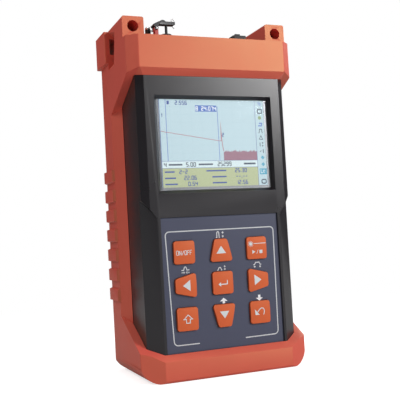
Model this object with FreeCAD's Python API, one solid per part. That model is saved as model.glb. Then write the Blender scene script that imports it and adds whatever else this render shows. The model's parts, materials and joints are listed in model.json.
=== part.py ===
import FreeCAD, Part
import math
import os

# Handheld optical time domain reflectometer in a rubber boot, in millimetres.
# X runs left to right, the display and keys face -Y, and +Z is up.
# The origin is the centre of the base, on the surface that the boot stands on.

V = FreeCAD.Vector

# ---------------------------------------------------------------- driving dimensions
# rubber boot, outside
boot_height = 220.0          # base to the top of the two side bars
boot_side_x = 54.9           # half width at the moulding's parting line
boot_rear_side_x = 54.3      # half width at the rear corners: the rear half has draft
boot_front_y = -35.0
boot_rear_y = 35.0
boot_part_y = 10.0           # parting line on the side walls
boot_rear_r = 5.0
boot_edge_r = 1.2
cap_top_z = boot_height - 13.4 # top edge of the front band
band_low_z = boot_height - 33.2 # lower edge of the front band
cap_corner_x = 48.4          # where the top corner chamfer leaves the front
cap_corner_y = -29.6         # and where it meets the side
cup_corner_x = 41.9          # the same two places on the bottom cup
cup_corner_y = -27.8
cup_front_z = 12.5           # top edge of the cup's front wall
plan_change_z = 100.0        # height where the cup's plan gives way to the cap's
base_side_r = 11.0                # roll of the side walls into the base
base_front_r = 2.0           # roll of the front wall into the base
base_rear_r = 13.0           # roll of the rear wall into the base

# the open front of the boot: side view, then plan
gusset_top_z = boot_height - 35.7 # at the cap's corner
gusset_top_slope = 0.477     # fall of the upper gusset per mm rearwards
gusset_low_z = 18.0          # at the cup's corner
gusset_low_slope = 0.505     # rise of the lower gusset per mm rearwards
gusset_rear_y = 18.0         # how far back the open side is shaped
wall_front_y = 1.2           # front edge of the side walls, on the inside
lip_end_z = boot_height - 36.65 # where the lip runs out on the side of the housing
lip_low_z = boot_height - 37.3 # lower edge of the band's sloping lip

# side bars, lugs and strap slots
bar_inner_x = 41.2
lug_front_y = -25.3
lug_hole_x = 48.2
lug_hole_z = boot_height - 6.0
lug_hole_r = 3.5
lug_hole_depth = 18.0
post_outer_x = 56.9
post_inner_x = 53.5
post_front_y = 10.5
post_rear_y = 33.4
post_low_z = boot_height - 20.4
slot_front_low_y = -2.7       # front wall of the slot, on the boot's side, at its foot
slot_front_top_y = -7.6      # and at its head
slot_floor_z = boot_height - 25.2    # floor and ceiling, on the boot's side
slot_front_top_z = boot_height - 5.2
slot_rear_top_z = boot_height - 0.6  # ceiling above the post's front
slot_floor_rise = 1.15       # rise of the floor per mm inwards
slot_ceiling_fall = 0.65     # fall of the ceiling per mm inwards
channel_inner_x = 48.9
channel_low_z = boot_height - 14.8
channel_top_z = boot_height - 4.6

# grip pads
pad_count = 7
pad_pitch = 12.7
pad_first_z = 50.2
pad_height = 9.2
pad_front_y = 9.0
pad_rear_y = 30.4
pad_stand = 1.5
pad_bevel = 1.0

# instrument housing, outside
body_side_x = 49.5
body_front_y = -31.1
body_rear_y = 30.8
body_rear_r = 4.0
body_low_z = 6.0
body_top_z = boot_height - 16.0
keypad_face_x = 40.6         # half width of the face beside the keypad
keypad_chamfer_y = -24.2
bezel_face_x = 45.1          # half width of the face beside the display
bezel_chamfer_y = -27.5
bezel_low_z = 97.3
bezel_corner_x = 41.3        # lower corner cut of the bezel
bezel_corner_slope = 1.27
split_y = 4.0                # joint between the front and rear housings
boot_fit = 0.2               # gap between the boot and the housing
wall = 2.2
face_wall = 2.5
seal_thickness = 1.0

# display
image_half_x = 35.4
image_low_z = 115.1
image_top_z = body_top_z - 34.9
window_half_x = image_half_x + 3.6
window_low_z = image_low_z - 3.6
window_top_z = image_top_z + 1.9
window_taper = 1.85          # how far the opening narrows on each side, front to back
lens_thickness = 0.8
lens_overlap = 1.3
lcd_overlap = 3.6            # metal frame around the picture
lcd_frame_thickness = 3.2
lcd_panel_thickness = 1.8
lcd_gap = 0.2

# keypad
overlay_half_x = 39.0
overlay_low_z = 16.0
overlay_top_z = 97.0
overlay_thickness = 0.3
pocket_depth = 1.3
key_centre_x = -1.1
key_centre_z = 55.8
key_pitch_x = 24.1
key_pitch_z = 19.9
key_width = 13.3
key_height = 13.7
key_corner_r = 1.5
key_narrow = 8.2             # width of an arrow key at its narrow end
key_wide = 14.9              # and at its wide end
key_stand = 1.9              # crown of a key above the overlay
key_crown = 0.5
key_travel = 1.0
key_gap = 0.3
key_flange = 1.2
flange_thickness = 1.0
stem_r = 2.4
dome_r = 3.4
dome_height = 0.5
mat_thickness = 1.0
board_thickness = 1.6
key_board_half_x = 38.0
key_board_low_z = 24.0
key_board_top_z = 92.8
key_screw_x = 35.4
key_screw_z = (31.0, 86.0)
small_screw_r = 1.0
small_head_r = 1.9
small_head_height = 1.2
small_screw_length = 4.5

# inner pieces
main_board_y = -14.0
main_board_half_x = 39.0
main_board_low_z = 16.0
main_board_top_z = body_top_z - 21.0
standoff_r = 2.6
board_hole_x = 34.0
board_hole_z = (20.0, 96.0, main_board_top_z - 4.0)
carrier_thickness = 1.2
carrier_boss_r = 2.1
carrier_x = image_half_x + lcd_overlap + 0.5 + carrier_boss_r
carrier_z = (image_low_z - 2.1, image_top_z + 1.9)
boss_x = 43.0
boss_r = 3.2
boss_z = (14.0, 101.0, body_top_z - 9.0)
housing_screw_r = 1.2
housing_head_r = 2.6
housing_head_depth = 2.0
module_half_x = 31.0
module_low_z = 122.0
module_top_z = main_board_top_z - 5.0
module_depth = 17.0
spool_r = 27.0
spool_inner_r = 17.0
spool_depth = 7.0
cell_count = 3
cell_pitch = 22.4
cell_r = 10.4
pack_half_x = (cell_count - 1) / 2 * cell_pitch + cell_r + 1.2
pack_low_z = 26.0
pack_top_z = 94.0
pack_front_y = 7.0
pad_foam_half_x = 26.0       # foam strip between the pack and the door
pad_foam_z = (50.0, 70.0)
tray_wall = 1.6
tray_gap = 0.3               # room round the battery pack
door_half_x = 38.0
door_low_z = 22.5
door_top_z = 101.5
door_fit = 0.2
door_thickness = 2.0
door_screw_x = 28.0
door_screw_z = 97.8
door_screw_r = 1.4
door_screw_length = 8.0
door_head_r = 2.6
door_head_depth = 1.2
tongue_x = 20.0
tongue_width = 8.0
tongue_reach = 1.5
rear_window_half_x = 40.2
rear_window_low_z = 19.0
rear_window_top_z = boot_height - 38.0
rear_window_r = 8.0
ribbon_thickness = 0.3
ribbon_fold = 2.0
display_ribbon_half_x = 14.0
display_ribbon_z = 106.0
display_ribbon_lap = 8.0     # how far a ribbon lies on the board it leaves
key_ribbon_half_x = 8.0
key_ribbon_z = 97.0
key_ribbon_lap = 6.0
socket_mouth = 2.4
socket_depth = 4.4
socket_half_z = 1.5
socket_slit = 0.5
# chips on the rear of the main board: x, z, half width, half height, depth
chips = (
    (0, 70, 12, 12, 2.4), (-22, 84, 6, 9, 1.4), (-22, 58, 6, 9, 1.4), (21, 60, 7, 7, 1.8),
    (21, 82, 5, 5, 3.0), (-10, 40, 8, 5, 2.0), (14, 38, 6, 6, 4.2), (0, 105, 10, 5, 2.2))
buzzer_x = 27.0
buzzer_z = 106.0
buzzer_r = 6.0
buzzer_height = 4.0

# top ports
port_y = -23.0
plate_half_x = 44.0
plate_front_y = -28.2
plate_rear_y = -13.6
plate_corner_r = 2.0
plate_thickness = 1.2
plate_ledge = 1.2
otdr_x = -26.3
otdr_collar_r = 3.8
otdr_collar_top_z = body_top_z + 5.0
otdr_recess_r = 2.8
otdr_recess_depth = 5.0
otdr_key_width = 1.8
otdr_flange_half = 5.0
otdr_flange_thickness = 1.2
otdr_tail_r = 3.4
otdr_tail_z = body_top_z - 10.0
ferrule_r = 0.625
ferrule_top_z = otdr_collar_top_z - 0.4
ferrule_tip = 0.25
ferrule_seat_r = 0.8         # the part of the ferrule that is pressed into the port
ferrule_seat_length = 6.0
pigtail_r = 0.45
pigtail_x = -20.0            # where the fibre enters the optical module
pigtail_y = -1.0
vfl_x = -36.2
vfl_y = -17.6
vfl_r = 1.8
vfl_top_z = body_top_z + 10.1
vfl_tail_r = 1.7
vfl_tail_z = body_top_z - 8.0
vfl_nut_r = 2.7
vfl_nut_height = 1.6
vfl_bore_r = 1.25
vfl_bore_depth = 8.0
vfl_cap_r = 1.75
vfl_cap_height = 2.0
vfl_plug_fit = 0.05
vfl_plug_length = 3.5
vfl_bead_r = 0.6
vfl_stalk_r = 0.22
vfl_bead_reach = 2.6         # from the cap's axis to the bead that the tether ties to
hinge_x = -33.1
hinge_z = body_top_z + 9.4
hinge_pin_r = 0.5
hinge_fit = 0.06
leg_r = 1.1
leg_thickness = 0.8
leg_gap = 0.15
cap_plate_low_z = body_top_z + 12.1
cap_plate_thickness = 1.8
cap_plate_half_y = 2.2
cap_plate_right_x = -20.8
cap_hub_x = -28.2
cap_hub_r = 2.2
cap_hub_height = 1.5
cap_arm_inner_r = 2.0        # room for the block inside the cap's arm
plug_x = -26.1
plug_stem_r = 0.85
plug_peg_r = 0.5
plug_peg_height = 1.2
plug_foot_r = 3.3
plug_foot_height = 1.0
block_left_x = -34.05
block_right_x = -31.8
block_top_z = body_top_z + 10.6
block_half_y = 2.0
eye_x = -0.7                 # from the cap's free end
eye_r = 0.98
eye_wire_r = 0.32
eye_tail = 1.1
cover_x = 21.85
cover_half_x = 4.6
cover_half_y = 4.6
cover_top_z = body_top_z + 7.0
cover_skirt = 0.9
cover_skirt_length = 1.4
cover_tab_x = -1.2
cover_tab_half_x = 1.7
cover_tab_y = (0.6, 2.2)     # from the lid's front edge
cover_tab_top_z = body_top_z + 8.0
cover_plug_r = 2.1
cover_plug_wall = 0.7
cover_hinge_z = body_top_z + 5.0
strap_half_x = 2.6
strap_thickness = 1.0
strap_foot = 2.4
strap_foot_thickness = 0.8
jack_half_x = 3.3
jack_half_y = 3.2
jack_top_z = body_top_z + 5.6
jack_height = 15.0
jack_bore_r = 2.4
jack_bore_depth = 10.0
jack_pin_r = 0.9
usb_x = 2.0
usb_half_x = 6.55
usb_half_y = 2.85
usb_shell = 0.5
usb_top_z = body_top_z + 1.2
usb_depth = 12.0
usb_tongue_half_x = 5.4

clearance = 0.1              # between pieces that are placed side by side


# ---------------------------------------------------------------- construction helpers
def corner_arc(before, at, after, radius):
    """Tangent points and middle point of the arc that rounds one corner of an outline."""
    a = (before - at).normalize()
    b = (after - at).normalize()
    half = a.getAngle(b) / 2
    reach = radius / math.tan(half)
    centre = at + (a + b).normalize() * (radius / math.sin(half))
    middle = centre + (at - centre).normalize() * radius
    return at + a * reach, middle, at + b * reach


def face(points, place):
    """A flat face from (u, v) or (u, v, corner radius) points; place turns (u, v) into a vector."""
    corners = [place(p[0], p[1]) for p in points]
    radii = [p[2] if len(p) > 2 else 0 for p in points]
    n = len(points)
    edges = []
    last = None
    first = None
    for i in range(n):
        if radii[i] > 0:
            start, middle, end = corner_arc(
                V(corners[i - 1]), V(corners[i]), V(corners[(i + 1) % n]), radii[i])
            arc = Part.Arc(start, middle, end).toShape()
        else:
            start = end = corners[i]
            arc = None
        if last is not None and (start - last).Length > 1e-6:
            edges.append(Part.LineSegment(last, start).toShape())
        if arc is not None:
            edges.append(arc)
        if first is None:
            first = start
        last = end
    if (first - last).Length > 1e-6:
        edges.append(Part.LineSegment(last, first).toShape())
    return Part.Face(Part.Wire(edges))


def slab_z(points, z0, z1):
    """Outline in plan, raised from z0 to z1."""
    return face(points, lambda x, y: V(x, y, z0)).extrude(V(0, 0, z1 - z0))


def slab_y(points, y0, y1):
    """Outline in front view, given depth from y0 to y1."""
    return face(points, lambda x, z: V(x, y0, z)).extrude(V(0, y1 - y0, 0))


def slab_x(points, x0, x1):
    """Outline in side view, given width from x0 to x1."""
    return face(points, lambda y, z: V(x0, y, z)).extrude(V(x1 - x0, 0, 0))


def box(x0, x1, y0, y1, z0, z1):
    return Part.makeBox(x1 - x0, y1 - y0, z1 - z0, V(x0, y0, z0))


def rect(x0, x1, z0, z1, r=0.0):
    return [(x0, z0, r), (x1, z0, r), (x1, z1, r), (x0, z1, r)]


def rod_y(x, z, r, y0, y1):
    return Part.makeCylinder(r, y1 - y0, V(x, y0, z), V(0, 1, 0))


def rod_z(x, y, r, z0, z1):
    return Part.makeCylinder(r, z1 - z0, V(x, y, z0), V(0, 0, 1))


def mirrored(shape):
    """The same shape on the other side of the centre plane."""
    return shape.mirror(V(0, 0, 0), V(1, 0, 0))


def both_sides(shape):
    return [shape, mirrored(shape)]


def joined(shapes):
    whole = shapes[0].fuse(shapes[1:]) if len(shapes) > 1 else shapes[0]
    return whole.removeSplitter()


# ---------------------------------------------------------------- the housing's outer form
def body_form(offset):
    """The instrument's outer form, grown by offset on every side (shrunk where it is negative)."""
    side = body_side_x + offset
    front = body_front_y - offset
    rear = body_rear_y + offset
    low = body_low_z - offset
    top = body_top_z + offset
    keypad_plan = [
        (-side, rear, body_rear_r), (side, rear, body_rear_r), (side, keypad_chamfer_y),
        (keypad_face_x + offset, front), (-keypad_face_x - offset, front), (-side, keypad_chamfer_y)]
    bezel_plan = [
        (-side, 0), (side, 0), (side, bezel_chamfer_y),
        (bezel_face_x + offset, front), (-bezel_face_x - offset, front), (-side, bezel_chamfer_y)]
    side_z = bezel_low_z + (side - bezel_corner_x) * bezel_corner_slope - offset
    bezel_front = [
        (-side, top), (side, top), (side, side_z), (bezel_corner_x, bezel_low_z - offset),
        (-bezel_corner_x, bezel_low_z - offset), (-side, side_z)]
    bezel = slab_z(bezel_plan, low, top).common(slab_y(bezel_front, front, 0))
    return joined([slab_z(keypad_plan, low, top), bezel])


# ---------------------------------------------------------------- rubber boot
def boot_plan(corner_x, corner_y):
    """Plan of the boot: rounded rear corners, drafted rear half, chamfered front corners."""
    half = [
        (boot_rear_side_x, boot_rear_y, boot_rear_r), (boot_side_x, boot_part_y),
        (boot_side_x, corner_y, boot_edge_r), (corner_x, boot_front_y, boot_edge_r)]
    return half + [(-p[0],) + tuple(p[1:]) for p in reversed(half)]


def front_opening():
    """The space that the boot leaves open in front: it bares the display, the keys and the sides."""
    def top_line(y):
        return gusset_top_z - gusset_top_slope * (y - cap_corner_y)

    def low_line(y):
        return gusset_low_z + gusset_low_slope * (y - cup_corner_y)

    far = 2 * boot_front_y
    cup_fall = (low_line(body_front_y) - cup_front_z) / (body_front_y - boot_front_y)
    side_view = [
        (far, top_line(far)), (gusset_rear_y, top_line(gusset_rear_y)),
        (gusset_rear_y, low_line(gusset_rear_y)), (body_front_y, low_line(body_front_y)),
        (boot_front_y, cup_front_z), (far, cup_front_z + cup_fall * (far - boot_front_y))]
    spread = boot_side_x + 6
    bevel = (boot_part_y - wall_front_y) / (boot_side_x - body_side_x)
    outer_y = wall_front_y + bevel * (spread - body_side_x)
    plan = [
        (-spread, far), (spread, far), (spread, outer_y), (body_side_x, wall_front_y),
        (-body_side_x, wall_front_y), (-spread, outer_y)]
    return slab_x(side_view, -spread, spread).common(slab_z(plan, 0, boot_height))


def base_form():
    """Side and front views whose common part rolls the walls into the base."""
    top = boot_height + 1
    reach_x = post_outer_x + 1
    side_view = [
        (boot_front_y, 0, base_front_r), (boot_rear_y, 0, base_rear_r), (boot_rear_y, top), (boot_front_y, top)]
    front_view = [
        (-boot_side_x, 0, base_side_r), (boot_side_x, 0, base_side_r), (boot_side_x, top), (-boot_side_x, top)]
    return slab_x(side_view, -reach_x, reach_x).common(slab_y(front_view, boot_front_y, boot_rear_y))


def side_bar():
    """The high bar along one side of the boot's top; its front end is the lug with the hole."""
    section = [
        (bar_inner_x, cap_top_z - 2), (boot_side_x, cap_top_z - 2),
        (boot_side_x, boot_height, boot_edge_r), (bar_inner_x, boot_height, boot_edge_r)]
    bar = slab_y(section, lug_front_y, boot_rear_y)
    bar = bar.common(slab_z(boot_plan(cap_corner_x, cap_corner_y), 0, boot_height))
    hole = rod_y(lug_hole_x, lug_hole_z, lug_hole_r, lug_front_y - 1, lug_front_y + lug_hole_depth)
    return bar, hole


def above_plane(a, b, c):
    """Everything above the plane through three points."""
    normal = (b - a).cross(c - a)
    if normal.z < 0:
        normal = normal * -1
    size = 4 * boot_side_x
    block = box(-size, size, -size, size, 0, size)
    block.Placement = FreeCAD.Placement(a, FreeCAD.Rotation(V(0, 0, 1), normal))
    return block


def strap_slot():
    """The post that stands proud at the rear corner, and the way behind it for a hand strap."""
    post_plan = [
        (boot_side_x - 2, post_front_y), (post_outer_x, post_front_y, 0.6),
        (post_outer_x, post_rear_y, 1.2), (boot_side_x - 2, post_rear_y)]
    post = slab_z(post_plan, post_low_z, boot_height)
    inner_x = body_side_x + boot_fit
    lean = (slot_front_low_y - slot_front_top_y) / (slot_front_top_z - slot_floor_z)
    low, high = slot_floor_z - 5, boot_height + 5
    window = slab_x([
        (slot_front_low_y + 5 * lean, low), (post_front_y, low), (post_front_y, high),
        (slot_front_low_y - (high - slot_floor_z) * lean, high)], inner_x, post_outer_x + 1)
    floor_in = slot_floor_z + slot_floor_rise * (boot_side_x - inner_x)
    fall = slot_ceiling_fall * (boot_side_x - inner_x)
    window = window.common(above_plane(
        V(boot_side_x, 0, slot_floor_z), V(boot_side_x, post_front_y, slot_floor_z), V(inner_x, 0, floor_in)))
    window = window.cut(above_plane(
        V(boot_side_x, slot_front_top_y, slot_front_top_z), V(boot_side_x, post_front_y, slot_rear_top_z),
        V(inner_x, slot_front_top_y, slot_front_top_z - fall)))
    channel = box(
        channel_inner_x, post_inner_x, post_front_y - 1, boot_rear_y + 1, channel_low_z, channel_top_z)
    return post, window, channel


def grip_pads():
    """Raised pads on the rear half of one side wall, with sloping edges all round."""
    pads = []
    base_x = boot_rear_side_x - 1
    for i in range(pad_count):
        z = pad_first_z + pad_pitch * i
        inner = face([
            (pad_front_y, z - pad_height / 2), (pad_rear_y, z - pad_height / 2),
            (pad_rear_y, z + pad_height / 2), (pad_front_y, z + pad_height / 2)],
            lambda y, w: V(base_x, y, w))
        outer = face([
            (pad_front_y + pad_bevel, z - pad_height / 2 + pad_bevel), (pad_rear_y - pad_bevel, z - pad_height / 2 + pad_bevel),
            (pad_rear_y - pad_bevel, z + pad_height / 2 - pad_bevel), (pad_front_y + pad_bevel, z + pad_height / 2 - pad_bevel)],
            lambda y, w: V(boot_side_x + pad_stand, y, w))
        pads.append(Part.makeLoft([inner.OuterWire, outer.OuterWire], True))
    return pads


def band_lip():
    """The lower edge of the front band slopes in to the housing, and round both its corners."""
    fit = boot_fit
    outer = V(cap_corner_x, boot_front_y, band_low_z)
    inner = V(bezel_face_x + fit, body_front_y - fit, lip_low_z)
    end = V(body_side_x + fit, bezel_chamfer_y, lip_end_z)
    stock = slab_z(boot_plan(cap_corner_x, cap_corner_y), lip_low_z - 1, band_low_z + 1)
    stock = stock.common(box(-boot_side_x, boot_side_x, boot_front_y, bezel_chamfer_y,
                             lip_low_z - 1, band_low_z + 1))
    front = above_plane(outer, inner, V(0, boot_front_y, band_low_z))
    corner = above_plane(outer, inner, end)
    return stock.common(front).common(corner).common(mirrored(corner))


def rubber_boot():
    upper = slab_z(boot_plan(cap_corner_x, cap_corner_y), plan_change_z, cap_top_z)
    lower = slab_z(boot_plan(cup_corner_x, cup_corner_y), 0, plan_change_z)
    bar, hole = side_bar()
    shell = joined([upper, lower] + both_sides(bar)).common(base_form())
    well = box(-bar_inner_x, bar_inner_x, body_front_y - boot_fit, body_rear_y + boot_fit,
               body_top_z, boot_height + 1)
    rear_window = slab_y(
        rect(-rear_window_half_x, rear_window_half_x, rear_window_low_z, rear_window_top_z, rear_window_r),
        body_rear_y - 1, boot_rear_y + 1)
    shell = shell.cut([front_opening()])
    post, window, channel = strap_slot()
    shell = joined([shell, band_lip()] + both_sides(post)
                   + [p for pad in grip_pads() for p in both_sides(pad)])
    return shell.cut([body_form(boot_fit), well, rear_window] + both_sides(hole)
                     + both_sides(window) + both_sides(channel))


# ---------------------------------------------------------------- keys
def key_places():
    """Name, column, row and pointing direction of each of the nine keys."""
    return [
        ("key_power", -1, 1, None), ("key_up", 0, 1, (0, 1)), ("key_run", 1, 1, None),
        ("key_left", -1, 0, (-1, 0)), ("key_enter", 0, 0, None), ("key_right", 1, 0, (1, 0)),
        ("key_shift", -1, -1, None), ("key_down", 0, -1, (0, -1)), ("key_back", 1, -1, None)]


def key_centre(column, row):
    return key_centre_x + column * key_pitch_x, key_centre_z + row * key_pitch_z


def key_outline(column, row, points_to, grow):
    """Outline of a key in front view: a rounded square, or a trapezium that narrows where it points."""
    cx, cz = key_centre(column, row)
    ux, uz = points_to or (0, 1)
    low = high = key_width / 2 + grow
    if points_to:
        low, high = key_wide / 2 + grow, key_narrow / 2 + grow
    reach = (key_height if uz else key_width) / 2 + grow
    corners = [(-low, -reach), (low, -reach), (high, reach), (-high, reach)]
    return [(cx + a * uz + b * ux, cz + b * uz - a * ux, key_corner_r + grow) for a, b in corners]


def key(column, row, points_to):
    """Crowned key top, straight sides through the housing, a flange behind it and a plunger."""
    top_y = overlay_y - key_stand
    cx, cz = key_centre(column, row)
    body = slab_y(key_outline(column, row, points_to, 0), top_y, flange_y + flange_thickness)
    crown_r = (key_height / 2 + 1) ** 2 / (2 * key_crown) + key_crown / 2
    crown = Part.makeSphere(crown_r, V(cx, top_y + crown_r, cz))
    body = body.common(crown)
    flange = slab_y(key_outline(column, row, points_to, key_flange), flange_y, flange_y + flange_thickness)
    plunger = rod_y(cx, cz, stem_r, flange_y, stem_end_y)
    return joined([body, flange, plunger])


# ---------------------------------------------------------------- places that follow from the sizes
far = boot_height            # further than any piece reaches
overlay_y = body_front_y + pocket_depth - overlay_thickness
inner_face_y = body_front_y + face_wall
flange_y = inner_face_y + clearance
stem_end_y = flange_y + flange_thickness + mat_thickness + 0.6
dome_top_y = stem_end_y + key_travel + clearance
key_board_y = dome_top_y + dome_height
mat_y = flange_y + flange_thickness + key_travel + clearance
lens_y = inner_face_y
lcd_y = lens_y + lens_thickness
picture_y = lcd_y + lcd_gap
carrier_y = lcd_y + lcd_frame_thickness
main_board_rear_y = main_board_y + board_thickness
door_seat_y = body_rear_y - door_thickness
plate_low_z = body_top_z - plate_thickness


# ---------------------------------------------------------------- housings
def screw_bosses(y0, y1, hole_r):
    """Bosses for the screws that hold the two housings together, webbed to the side walls."""
    solids = []
    holes = []
    for z in boss_z:
        boss = rod_y(boss_x, z, boss_r, y0, y1)
        web = box(boss_x, body_side_x - wall + 0.2, y0, y1, z - 1, z + 1)
        solids += both_sides(boss.fuse(web))
        holes += both_sides(rod_y(boss_x, z, hole_r, y0 - 0.01, y1 + 0.01))
    return solids, holes


def board_posts():
    """Places of the posts that carry the main board: x, z."""
    return [(x, z) for z in board_hole_z for x in (-board_hole_x, board_hole_x)]


def key_board_posts():
    return [(x, z) for z in key_screw_z for x in (-key_screw_x, key_screw_x)]


def carrier_posts():
    return [(x, z) for z in carrier_z for x in (-carrier_x, carrier_x)]


def front_housing():
    half = box(-far, far, -far, split_y, 0, far)
    hollow = body_form(-wall).common(box(-far, far, inner_face_y, split_y + 1, 0, far))
    bosses, boss_holes = screw_bosses(-12, split_y, housing_screw_r)
    root_y = inner_face_y - 0.5
    posts = [rod_y(x, z, standoff_r, root_y, main_board_y) for x, z in board_posts()]
    posts += [rod_y(x, z, small_head_r, root_y, key_board_y) for x, z in key_board_posts()]
    posts += [rod_y(x, z, carrier_boss_r, root_y, carrier_y) for x, z in carrier_posts()]
    shell = joined([body_form(0).common(half).cut(hollow)] + bosses + posts)
    pocket = box(-overlay_half_x, overlay_half_x, body_front_y - 1, body_front_y + pocket_depth,
                 overlay_low_z, overlay_top_z)
    front_rect = face(rect(-window_half_x, window_half_x, window_low_z, window_top_z),
                      lambda x, z: V(x, body_front_y, z))
    back_rect = face(rect(-window_half_x + window_taper, window_half_x - window_taper,
                          window_low_z + window_taper, window_top_z - window_taper),
                     lambda x, z: V(x, inner_face_y, z))
    opening = Part.makeLoft([front_rect.OuterWire, back_rect.OuterWire], True)
    key_holes = [slab_y(key_outline(c, r, d, key_gap), body_front_y - 1, inner_face_y + 1)
                 for _, c, r, d in key_places()]
    thread = small_screw_length
    screw_holes = [rod_y(x, z, small_screw_r, main_board_y - thread, main_board_y + 1)
                   for x, z in board_posts()]
    screw_holes += [rod_y(x, z, small_screw_r, key_board_y - thread / 2, key_board_y + 1)
                    for x, z in key_board_posts()]
    screw_holes += [rod_y(x, z, small_screw_r, carrier_y - thread / 2, carrier_y + 1)
                    for x, z in carrier_posts()]
    return shell.cut([pocket, opening] + port_seat() + key_holes + boss_holes + screw_holes)


def port_outline(shrink):
    """Plan of the port plate, drawn in by shrink on every side."""
    x = plate_half_x - shrink
    front = plate_front_y + shrink
    rear = plate_rear_y - shrink
    r = plate_corner_r
    return [(-x, front, r), (x, front, r), (x, rear, r), (-x, rear, r)]


def port_seat():
    """The stepped cut in the housing's top wall that takes the port plate."""
    return [slab_z(port_outline(-clearance), plate_low_z, body_top_z + 1),
            slab_z(port_outline(plate_ledge), body_top_z - wall - 1, body_top_z)]


def door_outline(grow):
    return rect(-door_half_x - grow, door_half_x + grow, door_low_z - grow, door_top_z + grow, 3)


def rear_housing():
    rear_start = split_y + seal_thickness
    half = box(-far, far, rear_start, far, 0, far)
    hollow = body_form(-wall).common(box(-far, far, rear_start - 1, far, 0, far))
    bosses, boss_holes = screw_bosses(rear_start, body_rear_y - 1, housing_screw_r + 0.2)
    room = [-pack_half_x - tray_gap, pack_half_x + tray_gap, pack_front_y, body_rear_y + 1,
            pack_low_z - tray_gap, pack_top_z + tray_gap]
    tray = box(room[0] - tray_wall, room[1] + tray_wall, room[2] - tray_wall, body_rear_y - 1,
               room[4] - tray_wall, room[5] + tray_wall)
    door_bosses = [rod_y(x, door_screw_z, door_head_r, door_seat_y - door_screw_length - 2, body_rear_y - 1)
                   for x in (-door_screw_x, door_screw_x)]
    shell = joined([body_form(0).common(half).cut(hollow), tray] + door_bosses + bosses)
    cuts = [box(*room), slab_y(door_outline(door_fit), door_seat_y, body_rear_y + 1)]
    cuts += [box(x - tongue_width / 2 - door_fit, x + tongue_width / 2 + door_fit, door_seat_y - door_fit,
                 door_seat_y + door_thickness / 2 + door_fit, door_low_z - tongue_reach - door_fit, door_low_z)
             for x in (-tongue_x, tongue_x)]
    for z in boss_z:
        cuts += both_sides(rod_y(
            boss_x, z, housing_head_r + clearance, body_rear_y - housing_head_depth, body_rear_y + 1))
    cuts += both_sides(rod_y(door_screw_x, door_screw_z, door_screw_r,
                             door_seat_y - door_screw_length, body_rear_y))
    return shell.cut(cuts + boss_holes)


def housing_seal():
    """Flat gasket between the two housings, following the wall."""
    ring = body_form(0).common(box(-far, far, split_y, split_y + seal_thickness, 0, far))
    ring = ring.cut(body_form(-wall))
    lugs, holes = screw_bosses(split_y, split_y + seal_thickness, housing_screw_r + 0.2)
    return joined([ring] + lugs).cut(holes)


def screw_y(x, z, shaft_r, head_r, head_y, head_height, length):
    """Pan-head screw driven from the rear: its head's seat is at head_y, its shaft runs forwards."""
    head = rod_y(x, z, head_r, head_y, head_y + head_height)
    slot = box(x - head_r * 0.7, x + head_r * 0.7, head_y + head_height * 0.5, head_y + head_height + 1,
               z - head_r * 0.12, z + head_r * 0.12)
    cross = slot.copy()
    cross.rotate(V(x, head_y, z), V(0, 1, 0), 90)
    return joined([head, rod_y(x, z, shaft_r, head_y - length, head_y)]).cut([slot, cross])


def group(solids):
    return Part.makeCompound(solids)


def housing_screws():
    """Six long screws through the rear housing and the seal into the front housing."""
    seat = body_rear_y - housing_head_depth
    length = seat - split_y + 10
    return group([screw_y(x, z, housing_screw_r, housing_head_r, seat, 1.6, length)
                  for z in boss_z for x in (-boss_x, boss_x)])


# ---------------------------------------------------------------- display
def display_lens():
    x = window_half_x - window_taper + lens_overlap
    return slab_y(rect(-x, x, window_low_z + window_taper - lens_overlap,
                       window_top_z - window_taper + lens_overlap, 1), lens_y, lcd_y)


def lcd_outline(grow):
    return rect(-image_half_x - grow, image_half_x + grow, image_low_z - grow, image_top_z + grow)


def lcd_frame():
    """Folded metal frame: a thin rim in front of the panel and side walls round it."""
    shell = slab_y(lcd_outline(lcd_overlap), lcd_y, lcd_y + lcd_frame_thickness)
    inside = slab_y(lcd_outline(lcd_overlap - 0.5), picture_y, lcd_y + lcd_frame_thickness + 1)
    return shell.cut([inside, slab_y(lcd_outline(0), lcd_y - 1, picture_y + 1)])


def lcd_panel():
    return slab_y(lcd_outline(lcd_overlap - 0.5 - clearance), picture_y, picture_y + lcd_panel_thickness)


def lcd_backlight():
    front = picture_y + lcd_panel_thickness
    return slab_y(lcd_outline(lcd_overlap - 0.5 - clearance), front, carrier_y)


def display_carrier():
    """Moulded frame that clamps the display against the housing."""
    outer_x = carrier_x + carrier_boss_r
    plate = slab_y(rect(-outer_x, outer_x, image_low_z - 5, image_top_z + 5, 2),
                   carrier_y, carrier_y + carrier_thickness)
    plate = plate.cut(slab_y(lcd_outline(-6), carrier_y - 1, carrier_y + carrier_thickness + 1))
    return plate.cut([rod_y(x, z, small_screw_r + clearance, carrier_y - 1, carrier_y + carrier_thickness + 1)
                      for x, z in carrier_posts()])


def carrier_screws():
    return group([screw_y(x, z, small_screw_r, small_head_r, carrier_y + carrier_thickness,
                          small_head_height, carrier_thickness + small_screw_length / 2)
                  for x, z in carrier_posts()])


# ---------------------------------------------------------------- keypad
def keypad_overlay():
    """Printed film in the housing's pocket, with a hole round every key."""
    film = box(-overlay_half_x + clearance, overlay_half_x - clearance, overlay_y,
               body_front_y + pocket_depth, overlay_low_z + clearance, overlay_top_z - clearance)
    return film.cut([slab_y(key_outline(c, r, d, key_gap), overlay_y - 1, overlay_y + 2)
                     for _, c, r, d in key_places()])


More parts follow.
